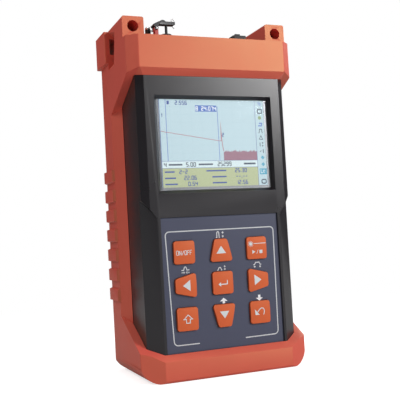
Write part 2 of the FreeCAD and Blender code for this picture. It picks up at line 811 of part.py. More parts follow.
def keypad_mat():
    """Elastic sheet behind the keys: a hole for each plunger, and slack round the posts."""
    sheet = slab_y(rect(-key_board_half_x, key_board_half_x, key_board_low_z, key_board_top_z, 2),
                   mat_y, key_board_y)
    cuts = [rod_y(*key_centre(c, r), dome_r + 0.6, mat_y - 1, key_board_y + 1) for _, c, r, _ in key_places()]
    cuts += [rod_y(x, z, small_head_r + 0.3, mat_y - 1, key_board_y + 1) for x, z in key_board_posts()]
    return sheet.cut(cuts)


def key_domes():
    """Nine snap domes on the key board."""
    domes = []
    for _, column, row, _ in key_places():
        cx, cz = key_centre(column, row)
        ball_r = (dome_r ** 2 + dome_height ** 2) / (2 * dome_height)
        ball = Part.makeSphere(ball_r, V(cx, dome_top_y + ball_r, cz))
        domes.append(ball.common(rod_y(cx, cz, dome_r, dome_top_y - 0.1, key_board_y)))
    return group(domes)


def key_board():
    board = slab_y(rect(-key_board_half_x, key_board_half_x, key_board_low_z, key_board_top_z, 2),
                   key_board_y, key_board_y + board_thickness)
    return board.cut([rod_y(x, z, small_screw_r + clearance, key_board_y - 1, key_board_y + 5)
                      for x, z in key_board_posts()])


def key_board_screws():
    return group([screw_y(x, z, small_screw_r, small_head_r, key_board_y + board_thickness,
                          small_head_height, board_thickness + small_screw_length / 2)
                  for x, z in key_board_posts()])


# ---------------------------------------------------------------- electronics and optics
def main_board():
    board = slab_y(rect(-main_board_half_x, main_board_half_x, main_board_low_z, main_board_top_z, 2),
                   main_board_y, main_board_rear_y)
    return board.cut([rod_y(x, z, small_screw_r + clearance, main_board_y - 1, main_board_y + 5)
                      for x, z in board_posts()])


def board_screws():
    return group([screw_y(x, z, small_screw_r, small_head_r, main_board_rear_y, small_head_height,
                          board_thickness + small_screw_length) for x, z in board_posts()])


def board_chips():
    """The larger components on the rear of the main board."""
    return group([box(x - a, x + a, main_board_rear_y, main_board_rear_y + d, z - b, z + b)
                  for x, z, a, b, d in chips])


def ribbon(half_x, start_y, start_z, end_z):
    """Flat cable that lies on a board's back, folds over and plugs into the main board's socket."""
    t = ribbon_thickness
    way = 1 if end_z > start_z else -1
    outline = [
        (start_y, start_z), (start_y, end_z, ribbon_fold), (main_board_y - socket_mouth, end_z),
        (main_board_y - socket_mouth, end_z - way * t), (start_y + t, end_z - way * t, ribbon_fold - t),
        (start_y + t, start_z)]
    return slab_x(outline, -half_x, half_x)


def display_ribbon():
    return ribbon(display_ribbon_half_x, carrier_y + carrier_thickness, image_low_z + display_ribbon_lap,
                  display_ribbon_z)


def keypad_ribbon():
    return ribbon(key_ribbon_half_x, key_board_y + board_thickness, key_board_top_z - key_ribbon_lap,
                  key_ribbon_z)


def ribbon_sockets():
    """The two sockets on the front of the main board that take the flat cables."""
    sockets = []
    for half, z in ((display_ribbon_half_x, display_ribbon_z + ribbon_thickness / 2),
                    (key_ribbon_half_x, key_ribbon_z - ribbon_thickness / 2)):
        socket = box(-half - socket_half_z, half + socket_half_z, main_board_y - socket_depth, main_board_y,
                     z - socket_half_z, z + socket_half_z)
        mouth = box(-half - clearance, half + clearance, main_board_y - socket_depth - 1,
                    main_board_y - socket_mouth, z - socket_slit / 2, z + socket_slit / 2)
        sockets.append(socket.cut(mouth))
    return group(sockets)


def buzzer():
    can = rod_y(buzzer_x, buzzer_z, buzzer_r, main_board_y - buzzer_height, main_board_y)
    return can.cut(rod_y(buzzer_x, buzzer_z, buzzer_r / 5, main_board_y - buzzer_height - 1,
                         main_board_y - buzzer_height / 2))


def optical_module():
    """Screened box with the laser, coupler and receiver; its ribs stand on the main board."""
    y0 = main_board_rear_y + 3.0
    can = slab_y(rect(-module_half_x, module_half_x, module_low_z, module_top_z, 2), y0, y0 + module_depth)
    lid_line = slab_y(rect(-module_half_x - 1, module_half_x + 1, module_low_z - 1, module_top_z + 1),
                      y0 + 2.2, y0 + 2.6)
    lid_line = lid_line.cut(slab_y(rect(-module_half_x + 0.4, module_half_x - 0.4, module_low_z + 0.4,
                                        module_top_z - 0.4), y0, y0 + 5))
    feet = [rod_y(x, z, 2.5, main_board_rear_y, y0 + 1)
            for x in (-module_half_x + 4, module_half_x - 4) for z in (module_low_z + 4, module_top_z - 4)]
    inlet = rod_z(pigtail_x, pigtail_y, pigtail_r, module_top_z - 4, module_top_z + 1)
    return joined([can.cut(lid_line)] + feet).cut(inlet)


def fibre_spool():
    """Flanged reel of launch fibre on the back of the optical module."""
    y0 = main_board_rear_y + 3.0 + module_depth
    z = (module_low_z + module_top_z) / 2
    reel = rod_y(0, z, spool_r, y0, y0 + spool_depth)
    groove = rod_y(0, z, spool_r + 1, y0 + 1, y0 + spool_depth - 1).cut(
        rod_y(0, z, spool_inner_r + 5, y0, y0 + spool_depth))
    return reel.cut([groove, rod_y(0, z, spool_inner_r, y0 - 1, y0 + spool_depth + 1)])


def bent_tube(points, r):
    """Round tube along straight runs joined by tangent arcs as large as the runs allow."""
    edges = []
    last = points[0]
    for i in range(1, len(points) - 1):
        before, at, after = points[i - 1], points[i], points[i + 1]
        turn = (at - before).getAngle(after - at)
        run = min((at - before).Length, (after - at).Length)
        start, middle, end = corner_arc(V(before), V(at), V(after), 0.45 * run / math.tan(turn / 2))
        edges += [Part.LineSegment(last, start).toShape(), Part.Arc(start, middle, end).toShape()]
        last = end
    edges.append(Part.LineSegment(last, points[-1]).toShape())
    path = Part.Wire(edges)
    ring = Part.Wire(Part.makeCircle(r, points[0], points[1] - points[0]))
    return path.makePipeShell([ring], True, False)


def fibre_pigtail():
    """Jacketed fibre from the tail of the OTDR port over the board to the optical module."""
    return bent_tube([
        V(otdr_x, port_y, otdr_tail_z), V(otdr_x, port_y, otdr_tail_z - 5),
        V(otdr_x + 1.5, port_y + 6.5, otdr_tail_z - 8), V(pigtail_x, pigtail_y - 4.5, otdr_tail_z - 8),
        V(pigtail_x, pigtail_y, module_top_z + 4.5), V(pigtail_x, pigtail_y, module_top_z)], pigtail_r)


def battery_pack():
    """Wrapped pack of upright cells side by side."""
    y = pack_front_y + cell_r
    cells = [rod_z((i - (cell_count - 1) / 2) * cell_pitch, y, cell_r, pack_low_z + 0.3, pack_top_z - 1)
             for i in range(cell_count)]
    reach = (cell_count - 1) / 2 * cell_pitch
    wrap = box(-reach, reach, y - cell_r * 0.82, y + cell_r * 0.82, pack_low_z + 0.3, pack_top_z - 1)
    return joined(cells + [wrap])


def battery_door():
    door = slab_y(door_outline(0), door_seat_y, body_rear_y)
    tongues = [box(x - tongue_width / 2, x + tongue_width / 2, door_seat_y, door_seat_y + door_thickness / 2,
                   door_low_z - tongue_reach, door_low_z + 1) for x in (-tongue_x, tongue_x)]
    cuts = []
    for x in (-door_screw_x, door_screw_x):
        cuts.append(rod_y(x, door_screw_z, door_screw_r + clearance, door_seat_y - 1, body_rear_y + 1))
        cuts.append(rod_y(x, door_screw_z, door_head_r + clearance,
                          body_rear_y - door_head_depth, body_rear_y + 1))
    return joined([door] + tongues).cut(cuts)


def door_screws():
    seat = body_rear_y - door_head_depth
    return group([screw_y(x, door_screw_z, door_screw_r, door_head_r, seat, door_head_depth,
                          door_screw_length) for x in (-door_screw_x, door_screw_x)])


def battery_pad():
    """Foam strip between the pack and the door."""
    return box(-pad_foam_half_x, pad_foam_half_x, pack_front_y + 2 * cell_r, door_seat_y, *pad_foam_z)


# ---------------------------------------------------------------- top ports
def port_plate():
    """Plate in the housing's top wall, with a hole for each port."""
    low, high = plate_low_z - 1, body_top_z + 1
    usb_x0, usb_x1 = usb_x - usb_half_x - clearance, usb_x + usb_half_x + clearance
    jack_x0, jack_x1 = cover_x - jack_half_x - clearance, cover_x + jack_half_x + clearance
    usb_y, jack_y = usb_half_y + clearance, jack_half_y + clearance
    return slab_z(port_outline(0), plate_low_z, body_top_z).cut([
        rod_z(otdr_x, port_y, otdr_tail_r + clearance, low, high),
        rod_z(vfl_x, vfl_y, vfl_tail_r + clearance, low, high),
        box(usb_x0, usb_x1, port_y - usb_y, port_y + usb_y, low, high),
        box(jack_x0, jack_x1, port_y - jack_y, port_y + jack_y, low, high)])


def otdr_port():
    """Bulkhead adapter: flange on the plate, collar with a recess round the ferrule, tail below."""
    f = otdr_flange_half
    front, rear = port_y - f + 0.4, port_y + f
    left = block_right_x + clearance
    flange = slab_z([(left, front), (otdr_x + f, front, 1), (otdr_x + f, rear, 1), (left, rear)],
                    body_top_z, body_top_z + otdr_flange_thickness)
    collar = rod_z(otdr_x, port_y, otdr_collar_r, body_top_z, otdr_collar_top_z)
    tail = rod_z(otdr_x, port_y, otdr_tail_r, otdr_tail_z, body_top_z + 1)
    floor_z = otdr_collar_top_z - otdr_recess_depth
    recess = rod_z(otdr_x, port_y, otdr_recess_r, floor_z, otdr_collar_top_z + 1)
    key_slot = box(otdr_x - otdr_key_width / 2, otdr_x + otdr_key_width / 2,
                   port_y - otdr_collar_r - 1, port_y, floor_z + 1, otdr_collar_top_z + 1)
    seat = rod_z(otdr_x, port_y, ferrule_seat_r, floor_z - ferrule_seat_length, floor_z + 1)
    return joined([flange, collar, tail]).cut([recess, key_slot, seat])


def otdr_ferrule():
    """Ceramic ferrule: a thicker seat in the port's body, and the polished pin in its recess."""
    floor_z = otdr_collar_top_z - otdr_recess_depth
    profile = face([
        (0, floor_z - ferrule_seat_length), (ferrule_seat_r, floor_z - ferrule_seat_length),
        (ferrule_seat_r, floor_z), (ferrule_r, floor_z), (ferrule_r, ferrule_top_z - ferrule_tip),
        (ferrule_r - ferrule_tip, ferrule_top_z), (0, ferrule_top_z)],
        lambda x, z: V(otdr_x + x, port_y, z))
    return profile.revolve(V(otdr_x, port_y, 0), V(0, 0, 1), 360)


def hinge_block():
    """Upright block on the port plate that carries the dust cap's pin."""
    block = slab_y([
        (block_left_x, body_top_z), (block_right_x, body_top_z), (block_right_x, block_top_z, 0.4),
        (block_left_x, block_top_z, 0.4)], port_y - block_half_y, port_y + block_half_y)
    return block.cut(rod_y(hinge_x, hinge_z, hinge_pin_r, port_y - 2 * block_half_y, port_y + 2 * block_half_y))


def cap_pin():
    reach = block_half_y + leg_gap + leg_thickness + 0.2
    return rod_y(hinge_x, hinge_z, hinge_pin_r, port_y - reach, port_y + reach)


def dust_cap():
    """Sprung cover: a flat bar over the port, a hub on top and a forked arm down to the pin."""
    low, top = cap_plate_low_z, cap_plate_low_z + cap_plate_thickness
    half_y = cap_plate_half_y
    bar = slab_y([
        (hinge_x + 2.2, low), (cap_plate_right_x, low, 0.4), (cap_plate_right_x, top, 0.4), (hinge_x + 2.2, top)],
        port_y - half_y, port_y + half_y)
    fork_y = block_half_y + leg_gap + leg_thickness
    arm = slab_y([
        (hinge_x + 2.3, top + 0.1, 0.6), (hinge_x - 2.2, hinge_z + 2.3, 0.5), (hinge_x - 1.5, hinge_z + 1.1, 0.3),
        (hinge_x - 0.4, hinge_z + 1.6), (hinge_x + 1.2, hinge_z + 1.9), (hinge_x + 2.3, low)],
        port_y - fork_y, port_y + fork_y)
    room = rod_y(hinge_x, hinge_z, cap_arm_inner_r, port_y - block_half_y - leg_gap, port_y + block_half_y + leg_gap)
    legs = []
    for y0 in (port_y - fork_y, port_y + fork_y - leg_thickness):
        leg = slab_y([
            (hinge_x - leg_r, hinge_z), (hinge_x + leg_r, hinge_z), (hinge_x + leg_r, hinge_z + 2.2),
            (hinge_x - leg_r, hinge_z + 1.6)], y0, y0 + leg_thickness)
        legs.append(leg.fuse(rod_y(hinge_x, hinge_z, leg_r, y0, y0 + leg_thickness)))
    dome_r = (cap_hub_r ** 2 + cap_hub_height ** 2) / (2 * cap_hub_height)
    hub = Part.makeSphere(dome_r, V(cap_hub_x, port_y, top + cap_hub_height - dome_r)).common(
        rod_z(cap_hub_x, port_y, cap_hub_r, top - 0.3, top + cap_hub_height + 1))
    bores = rod_y(hinge_x, hinge_z, hinge_pin_r + hinge_fit, port_y - 2 * fork_y, port_y + 2 * fork_y)
    eye_hole = rod_z(cap_plate_right_x + eye_x, port_y, eye_wire_r, low - 1, top + 1)
    peg_hole = rod_z(plug_x, port_y, plug_peg_r, low - 1, low + plug_peg_height)
    return joined([bar, arm.cut(room), hub] + legs).cut([bores, eye_hole, peg_hole])


def cap_plug():
    """Rubber stopper under the cap: a peg in the cap, a stem, and a foot that closes the port's mouth."""
    foot_z = otdr_collar_top_z + clearance
    stem = rod_z(plug_x, port_y, plug_stem_r, foot_z, cap_plate_low_z)
    peg = rod_z(plug_x, port_y, plug_peg_r, foot_z, cap_plate_low_z + plug_peg_height)
    foot = rod_z(otdr_x, port_y, plug_foot_r, foot_z, foot_z + plug_foot_height)
    return joined([stem, peg, foot])


def wire_ring(x, z):
    """Ring of round wire, in the X-Z plane."""
    return Part.makeTorus(eye_r, eye_wire_r, V(x, port_y, z), V(0, 1, 0))


def cap_eye():
    """Wire eye through the free end of the cap: a ring above it and a hooked tail below."""
    x = cap_plate_right_x + eye_x
    top = cap_plate_low_z + cap_plate_thickness
    foot = cap_plate_low_z - eye_tail
    shank = rod_z(x, port_y, eye_wire_r, foot, top + eye_wire_r)
    tail = Part.makeCylinder(eye_wire_r, eye_r, V(x, port_y, foot), V(1, 0, -0.5))
    knee = Part.makeSphere(eye_wire_r, V(x, port_y, foot))
    return joined([wire_ring(x, top + eye_r + eye_wire_r), shank, knee, tail])


def vfl_port():
    """Slim port of the visible fault laser: a collar with the ferrule bore, and its tail."""
    body = rod_z(vfl_x, vfl_y, vfl_r, body_top_z, vfl_top_z)
    tail = rod_z(vfl_x, vfl_y, vfl_tail_r, vfl_tail_z, body_top_z + 1)
    nut = slab_z([(vfl_x + vfl_nut_r * math.cos(a), vfl_y + vfl_nut_r * math.sin(a))
                  for a in (math.pi / 3 * k + math.pi / 6 for k in range(6))],
                 body_top_z, body_top_z + vfl_nut_height)
    bore = rod_z(vfl_x, vfl_y, vfl_bore_r, vfl_top_z - vfl_bore_depth, vfl_top_z + 1)
    return joined([body, tail, nut]).cut(bore)


def vfl_cap():
    """Domed metal cap with a plug in the port's bore, and beside it the bead that its tether ties to."""
    low = vfl_top_z + clearance / 2
    ball_r = vfl_cap_r * 1.12
    skirt = rod_z(vfl_x, vfl_y, vfl_cap_r, low, low + vfl_cap_height)
    dome = skirt.common(Part.makeSphere(ball_r, V(vfl_x, vfl_y, low + vfl_cap_height - ball_r)))
    plug = rod_z(vfl_x, vfl_y, vfl_bore_r - vfl_plug_fit, vfl_top_z - vfl_plug_length, low + vfl_cap_height / 2)
    start = V(vfl_x + vfl_cap_r * 0.75, vfl_y, low + vfl_cap_height / 2)
    end = V(vfl_x + vfl_bead_reach, vfl_y, low - vfl_bead_r)
    stalk = Part.makeCylinder(vfl_stalk_r, (end - start).Length, start, end - start)
    return joined([dome, plug, stalk, Part.makeSphere(vfl_bead_r, end)])


def usb_socket():
    """Host socket: folded shell, tongue and closed bottom."""
    bottom = usb_top_z - usb_depth
    shell = box(usb_x - usb_half_x, usb_x + usb_half_x, port_y - usb_half_y, port_y + usb_half_y,
                bottom, usb_top_z)
    room = box(usb_x - usb_half_x + usb_shell, usb_x + usb_half_x - usb_shell, port_y - usb_half_y + usb_shell,
               port_y + usb_half_y - usb_shell, bottom + 4 * usb_shell, usb_top_z + 1)
    tongue = box(usb_x - usb_tongue_half_x, usb_x + usb_tongue_half_x, port_y + 0.1,
                 port_y + usb_half_y - usb_shell - 0.35, bottom + usb_shell, usb_top_z - 0.8)
    return joined([shell.cut(room), tongue])


def dc_jack():
    """Charger socket: block with a round bore and a centre pin."""
    body = box(cover_x - jack_half_x, cover_x + jack_half_x, port_y - jack_half_y, port_y + jack_half_y,
               jack_top_z - jack_height, jack_top_z)
    bore = rod_z(cover_x, port_y, jack_bore_r, jack_top_z - jack_bore_depth, jack_top_z + 1)
    pin = rod_z(cover_x, port_y, jack_pin_r, jack_top_z - jack_bore_depth - 1, jack_top_z - 1)
    return joined([body.cut(bore), pin])


def port_cover():
    """Rubber lid over the charger socket: lid, short skirt and a finger tab."""
    x0, x1 = cover_x - cover_half_x, cover_x + cover_half_x
    y0, y1 = port_y - cover_half_y, port_y + cover_half_y
    foot = jack_top_z - cover_skirt_length
    outer = slab_z([(x0, y0, 1), (x1, y0, 1), (x1, y1, 1), (x0, y1, 1)], foot, cover_top_z)
    inner = box(x0 + cover_skirt, x1 - cover_skirt, y0 + cover_skirt, y1 - cover_skirt,
                foot - 1, jack_top_z + clearance)
    tab_x = cover_x + cover_tab_x
    tab = box(tab_x - cover_tab_half_x, tab_x + cover_tab_half_x, y0 + cover_tab_y[0], y0 + cover_tab_y[1],
              cover_top_z - 0.5, cover_tab_top_z)
    plug = rod_z(cover_x, port_y, cover_plug_r, jack_top_z - 0.7, jack_top_z + 1).cut(
        rod_z(cover_x, port_y, cover_plug_r - cover_plug_wall, jack_top_z - 2, jack_top_z + clearance))
    return joined([outer.cut(inner), tab, plug])


def cover_strap():
    """Rubber strap from the port plate up to the lid's hinge line."""
    y = port_y + cover_half_y + 0.3
    step_z = body_top_z + strap_foot_thickness
    return slab_x([(y, body_top_z), (y + strap_foot, body_top_z), (y + strap_foot, step_z),
                   (y + strap_thickness, step_z), (y + strap_thickness, cover_hinge_z, 0.4),
                   (y, cover_hinge_z, 0.4)], cover_x - strap_half_x, cover_x + strap_half_x)


# ---------------------------------------------------------------- write the pieces
def write(name, shape):
    shape.exportStep(os.path.join("parts", name + ".step"))
    print(f"{name:20s} solids {len(shape.Solids)} volume {shape.Volume:10.1f} valid {shape.isValid()}")


def main():
    os.makedirs("parts", exist_ok=True)
    for name, column, row, points_to in key_places():
        write(name, key(column, row, points_to))
    for make in (
            rubber_boot, front_housing, rear_housing, housing_seal, housing_screws,
            display_lens, lcd_frame, lcd_panel, lcd_backlight, display_carrier, carrier_screws,
            keypad_overlay, keypad_mat, key_domes, key_board, key_board_screws,
            main_board, board_screws, board_chips, ribbon_sockets, display_ribbon, keypad_ribbon, buzzer,
            optical_module, fibre_spool, fibre_pigtail,
            battery_pack, battery_pad, battery_door, door_screws,
            port_plate, otdr_port, otdr_ferrule, hinge_block, cap_pin, dust_cap, cap_plug, cap_eye,
            vfl_port, vfl_cap, usb_socket, dc_jack, port_cover, cover_strap):
        write(make.__name__, make())


main()
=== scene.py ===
# %% [markdown]
# # A handheld optical time domain reflectometer
# The instrument finds faults in optical fibre. It has a dark plastic housing with a colour display and
# nine soft keys, and an orange rubber boot that takes the knocks. The construction is already settled:
# the frame holds every piece at its real size. This lesson dresses it: soft edges, grained plastic,
# printed legends, a lit picture and a plain studio. We start by loading the frame and noting the size of
# the whole object.

# %% Load the frame
import json
import math

import bpy
import bmesh
import numpy as np
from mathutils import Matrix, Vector


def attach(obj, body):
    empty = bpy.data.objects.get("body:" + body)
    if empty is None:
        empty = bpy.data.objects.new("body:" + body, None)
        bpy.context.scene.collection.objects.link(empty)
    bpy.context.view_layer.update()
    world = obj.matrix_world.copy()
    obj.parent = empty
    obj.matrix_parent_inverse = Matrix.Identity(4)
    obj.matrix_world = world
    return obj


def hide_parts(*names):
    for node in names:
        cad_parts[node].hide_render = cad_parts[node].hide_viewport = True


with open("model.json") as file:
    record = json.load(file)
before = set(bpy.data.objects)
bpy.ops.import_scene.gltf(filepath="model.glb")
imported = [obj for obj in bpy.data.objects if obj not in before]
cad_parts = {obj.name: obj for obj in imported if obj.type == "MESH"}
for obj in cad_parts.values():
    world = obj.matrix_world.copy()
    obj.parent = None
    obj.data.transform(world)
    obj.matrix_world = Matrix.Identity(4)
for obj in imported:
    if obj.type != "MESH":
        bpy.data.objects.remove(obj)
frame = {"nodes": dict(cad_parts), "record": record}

MM = 0.001
NODES = frame["nodes"]
BODY_OF = {node: body for body, nodes in frame["record"]["behaviour"]["bodies"].items() for node in nodes}
SLOT_OF = {entry["node"]: entry["material_slot"] for entry in frame["record"]["subparts"]}
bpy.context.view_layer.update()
print("pieces in the frame:", len(NODES))


# %% [markdown]
# ## The camera
# The instrument is shown as in a catalogue: seen from the left, from a low place, and by a camera that
# leans a little about its own axis. A lens of about 65 mm keeps the upright edges almost parallel. The
# view transform is Standard, so that a colour comes out as it is written.

# %% Camera
camera_data = bpy.data.cameras.new("camera")
camera_data.lens = 64.57
camera_data.sensor_width = 36.0
camera = bpy.data.objects.new("camera", camera_data)
camera.location = (-0.1751, -0.4354, 0.0860)
camera.rotation_euler = [math.radians(angle) for angle in (92.74, 3.20, -21.68)]
bpy.context.scene.collection.objects.link(camera)
bpy.context.scene.camera = camera
bpy.context.scene.view_settings.view_transform = "Standard"
print("camera:", round(camera.location.length * 1000), "mm from the foot of the instrument")


# %% [markdown]
# ## The lamps
# Five square area lights stand round the instrument. A key lamp at the right models the front and draws
# the broad sheen on the band and on the upper right of the housing. A lamp high at the left lights the
# boot's side, a weak one near the camera opens the shadows, a rim lamp behind the right side lifts the
# far edge, and one above lights the top faces. Big soft lamps were chosen because small ones would leave
# hard glints on rubber.

# %% Lamps
MIDDLE = (0, 0, 0.11)
LAMPS = {  # place and side in metres, power in watts
    "key_lamp": ((0.79, -1.03, 0.66), 0.6, 15.8),
    "side_lamp": ((-0.80, 0.12, 0.95), 0.5, 5.3),
    "fill_lamp": ((-0.62, -1.05, 0.23), 0.5, 1.5),
    "rim_lamp": ((1.05, 0.58, 0.75), 0.5, 3.6),
    "top_lamp": ((0.0, 0.1, 1.1), 0.7, 3.2)}


def area_lamp(name, place, side, power):
    """A square area light at place, turned so that its face looks at the middle of the instrument."""
    data = bpy.data.lights.new(name, "AREA")
    data.size = side
    data.energy = power
    lamp = bpy.data.objects.new(name, data)
    lamp.location = place
    way = Vector(MIDDLE) - Vector(place)
    lamp.rotation_euler = way.to_track_quat("-Z", "Y").to_euler()
    bpy.context.scene.collection.objects.link(lamp)


for name, (place, side, power) in LAMPS.items():
    area_lamp(name, place, side, power)
print("lamps:", len(LAMPS))


# %% [markdown]
# ## The world
# The backdrop of a catalogue picture is pure white, but a white world would light the rubber from every
# side and wash its colour out. So the world has two strengths: rays from the camera see white, and all
# the others find only a dim glow.

# %% World
world = bpy.data.worlds.new("studio")
bpy.context.scene.world = world
world.use_nodes = True
world_nodes, world_links = world.node_tree.nodes, world.node_tree.links
dim_glow = world_nodes["Background"]
dim_glow.inputs["Color"].default_value = (1, 1, 1, 1)
dim_glow.inputs["Strength"].default_value = 0.08
backdrop = world_nodes.new("ShaderNodeBackground")
backdrop.inputs["Color"].default_value = (1, 1, 1, 1)
ray_kind = world_nodes.new("ShaderNodeLightPath")
choice = world_nodes.new("ShaderNodeMixShader")
world_links.new(ray_kind.outputs["Is Camera Ray"], choice.inputs["Fac"])
world_links.new(dim_glow.outputs[0], choice.inputs[1])
world_links.new(backdrop.outputs[0], choice.inputs[2])
world_links.new(choice.outputs[0], world_nodes["World Output"].inputs["Surface"])
print("world: white to the camera,", round(dim_glow.inputs["Strength"].default_value, 2), "as a light")


# %% [markdown]
# ## The floor
# The floor is one flat sheet. Near the instrument the camera sees its matt paint with some white added,
# so a soft shadow stays under the boot. Further out it fades to the white of the backdrop, and the
# horizon is gone. The share of white grows smoothly with the distance from the instrument. Only the
# camera sees the added white: other rays meet plain paint, which throws some light up at the lower edges
# as a real floor does.

# %% Floor sheet and paint
FLOOR_HALF = 6.0
FADE_START, FADE_END = 0.12, 0.50
NEAR_WHITE = 0.72
corners = [(-FLOOR_HALF, -FLOOR_HALF, 0), (FLOOR_HALF, -FLOOR_HALF, 0), (FLOOR_HALF, FLOOR_HALF, 0),
           (-FLOOR_HALF, FLOOR_HALF, 0)]
floor_mesh = bpy.data.meshes.new("floor")
floor_mesh.from_pydata(corners, [], [(0, 1, 2, 3)])
floor = bpy.data.objects.new("floor", floor_mesh)
bpy.context.scene.collection.objects.link(floor)
floor_material = bpy.data.materials.new("white_floor")
floor_material.use_nodes = True
floor_nodes, floor_links = floor_material.node_tree.nodes, floor_material.node_tree.links
floor_paint = floor_nodes["Principled BSDF"]
floor_paint.inputs["Base Color"].default_value = (0.62, 0.62, 0.62, 1)
floor_paint.inputs["Roughness"].default_value = 0.9
floor_paint.inputs["Specular IOR Level"].default_value = 0.0
print("floor:", 2 * FLOOR_HALF, "m square")

# %% Floor as the camera sees it
floor_place = floor_nodes.new("ShaderNodeTexCoord")
floor_reach = floor_nodes.new("ShaderNodeVectorMath")
floor_reach.operation = "LENGTH"
floor_fade = floor_nodes.new("ShaderNodeMapRange")
floor_fade.interpolation_type = "SMOOTHSTEP"
floor_fade.inputs["From Min"].default_value = FADE_START
floor_fade.inputs["From Max"].default_value = FADE_END
floor_near = floor_nodes.new("ShaderNodeEmission")
floor_near.inputs["Strength"].default_value = NEAR_WHITE
floor_white = floor_nodes.new("ShaderNodeEmission")
floor_rays = floor_nodes.new("ShaderNodeLightPath")
floor_sum = floor_nodes.new("ShaderNodeAddShader")
floor_seen = floor_nodes.new("ShaderNodeMixShader")
floor_mix = floor_nodes.new("ShaderNodeMixShader")
for source, target in (
        (floor_place.outputs["Object"], floor_reach.inputs[0]),
        (floor_reach.outputs["Value"], floor_fade.inputs["Value"]),
        (floor_paint.outputs[0], floor_sum.inputs[0]),
        (floor_near.outputs[0], floor_sum.inputs[1]),
        (floor_fade.outputs["Result"], floor_seen.inputs["Fac"]),
        (floor_sum.outputs[0], floor_seen.inputs[1]),
        (floor_white.outputs[0], floor_seen.inputs[2]),
        (floor_rays.outputs["Is Camera Ray"], floor_mix.inputs["Fac"]),
        (floor_paint.outputs[0], floor_mix.inputs[1]),
        (floor_seen.outputs[0], floor_mix.inputs[2]),
        (floor_mix.outputs[0], floor_nodes["Material Output"].inputs["Surface"])):
    floor_links.new(source, target)
floor.data.materials.append(floor_material)
print("floor: white beyond", FADE_END, "m")


# %% [markdown]
# ## Finishes
# Real plastic and rubber are never quite even: the colour drifts a little over the surface, and the mould
# leaves a fine grain. Every finish is a Principled shader whose drift, and grain where it has one, come
# from noise on Object coordinates, so that they stay put on the piece from every side. Painted image maps
# would do too, but noise needs no unwrapping. One helper makes all the plain cases. The boot's rubber and
# the keys get a tinted sheen, because their broad highlight is warmer than white.

# %% Finish helper
DRIFT_SIZE = 25.0  # mm across which a colour drifts


def finish_of(name, color, roughness, drift=0.06, grain=0.0, grain_size=0.5, metallic=0.0, rough_drift=0.05,
              sheen=(1, 1, 1), gloss=0.5):
    """A Principled material: colour and roughness drift with slow noise, and fine noise makes the grain.

    The colour runs from color * (1 - drift) to color * (1 + drift), and the roughness by rough_drift to
    both sides. The grain is grain_size millimetres wide, and its bump stands grain millimetres high.
    """
    material = bpy.data.materials.new(name)
    material.use_nodes = True
    nodes, links = material.node_tree.nodes, material.node_tree.links
    shader = nodes["Principled BSDF"]
    shader.inputs["Metallic"].default_value = metallic
    shader.inputs["Specular Tint"].default_value = (*sheen, 1)
    shader.inputs["Specular IOR Level"].default_value = gloss
    place = nodes.new("ShaderNodeTexCoord").outputs["Object"]
    slow = nodes.new("ShaderNodeTexNoise")
    slow.inputs["Scale"].default_value = 1 / (DRIFT_SIZE * MM)
    slow.inputs["Detail"].default_value = 4.0
    links.new(place, slow.inputs["Vector"])
    tone = nodes.new("ShaderNodeMix")
    tone.data_type = "RGBA"
    tone.inputs["A"].default_value = (*[c * (1 - drift) for c in color], 1)
    tone.inputs["B"].default_value = (*[min(1, c * (1 + drift)) for c in color], 1)
    links.new(slow.outputs["Fac"], tone.inputs["Factor"])
    links.new(tone.outputs["Result"], shader.inputs["Base Color"])
    rough = nodes.new("ShaderNodeMapRange")
    rough.inputs["To Min"].default_value = max(0.02, roughness - rough_drift)
    rough.inputs["To Max"].default_value = min(1, roughness + rough_drift)
    links.new(slow.outputs["Fac"], rough.inputs["Value"])
    links.new(rough.outputs["Result"], shader.inputs["Roughness"])
    if grain:
        fine = nodes.new("ShaderNodeTexNoise")
        fine.inputs["Scale"].default_value = 1 / (grain_size * MM)
        fine.inputs["Detail"].default_value = 2.0
        links.new(place, fine.inputs["Vector"])
        bump = nodes.new("ShaderNodeBump")
        bump.inputs["Distance"].default_value = grain * MM
        bump.inputs["Strength"].default_value = 1.0
        links.new(fine.outputs["Fac"], bump.inputs["Height"])
        links.new(bump.outputs["Normal"], shader.inputs["Normal"])
    return material


print("finish helper: colours drift over", DRIFT_SIZE, "mm")

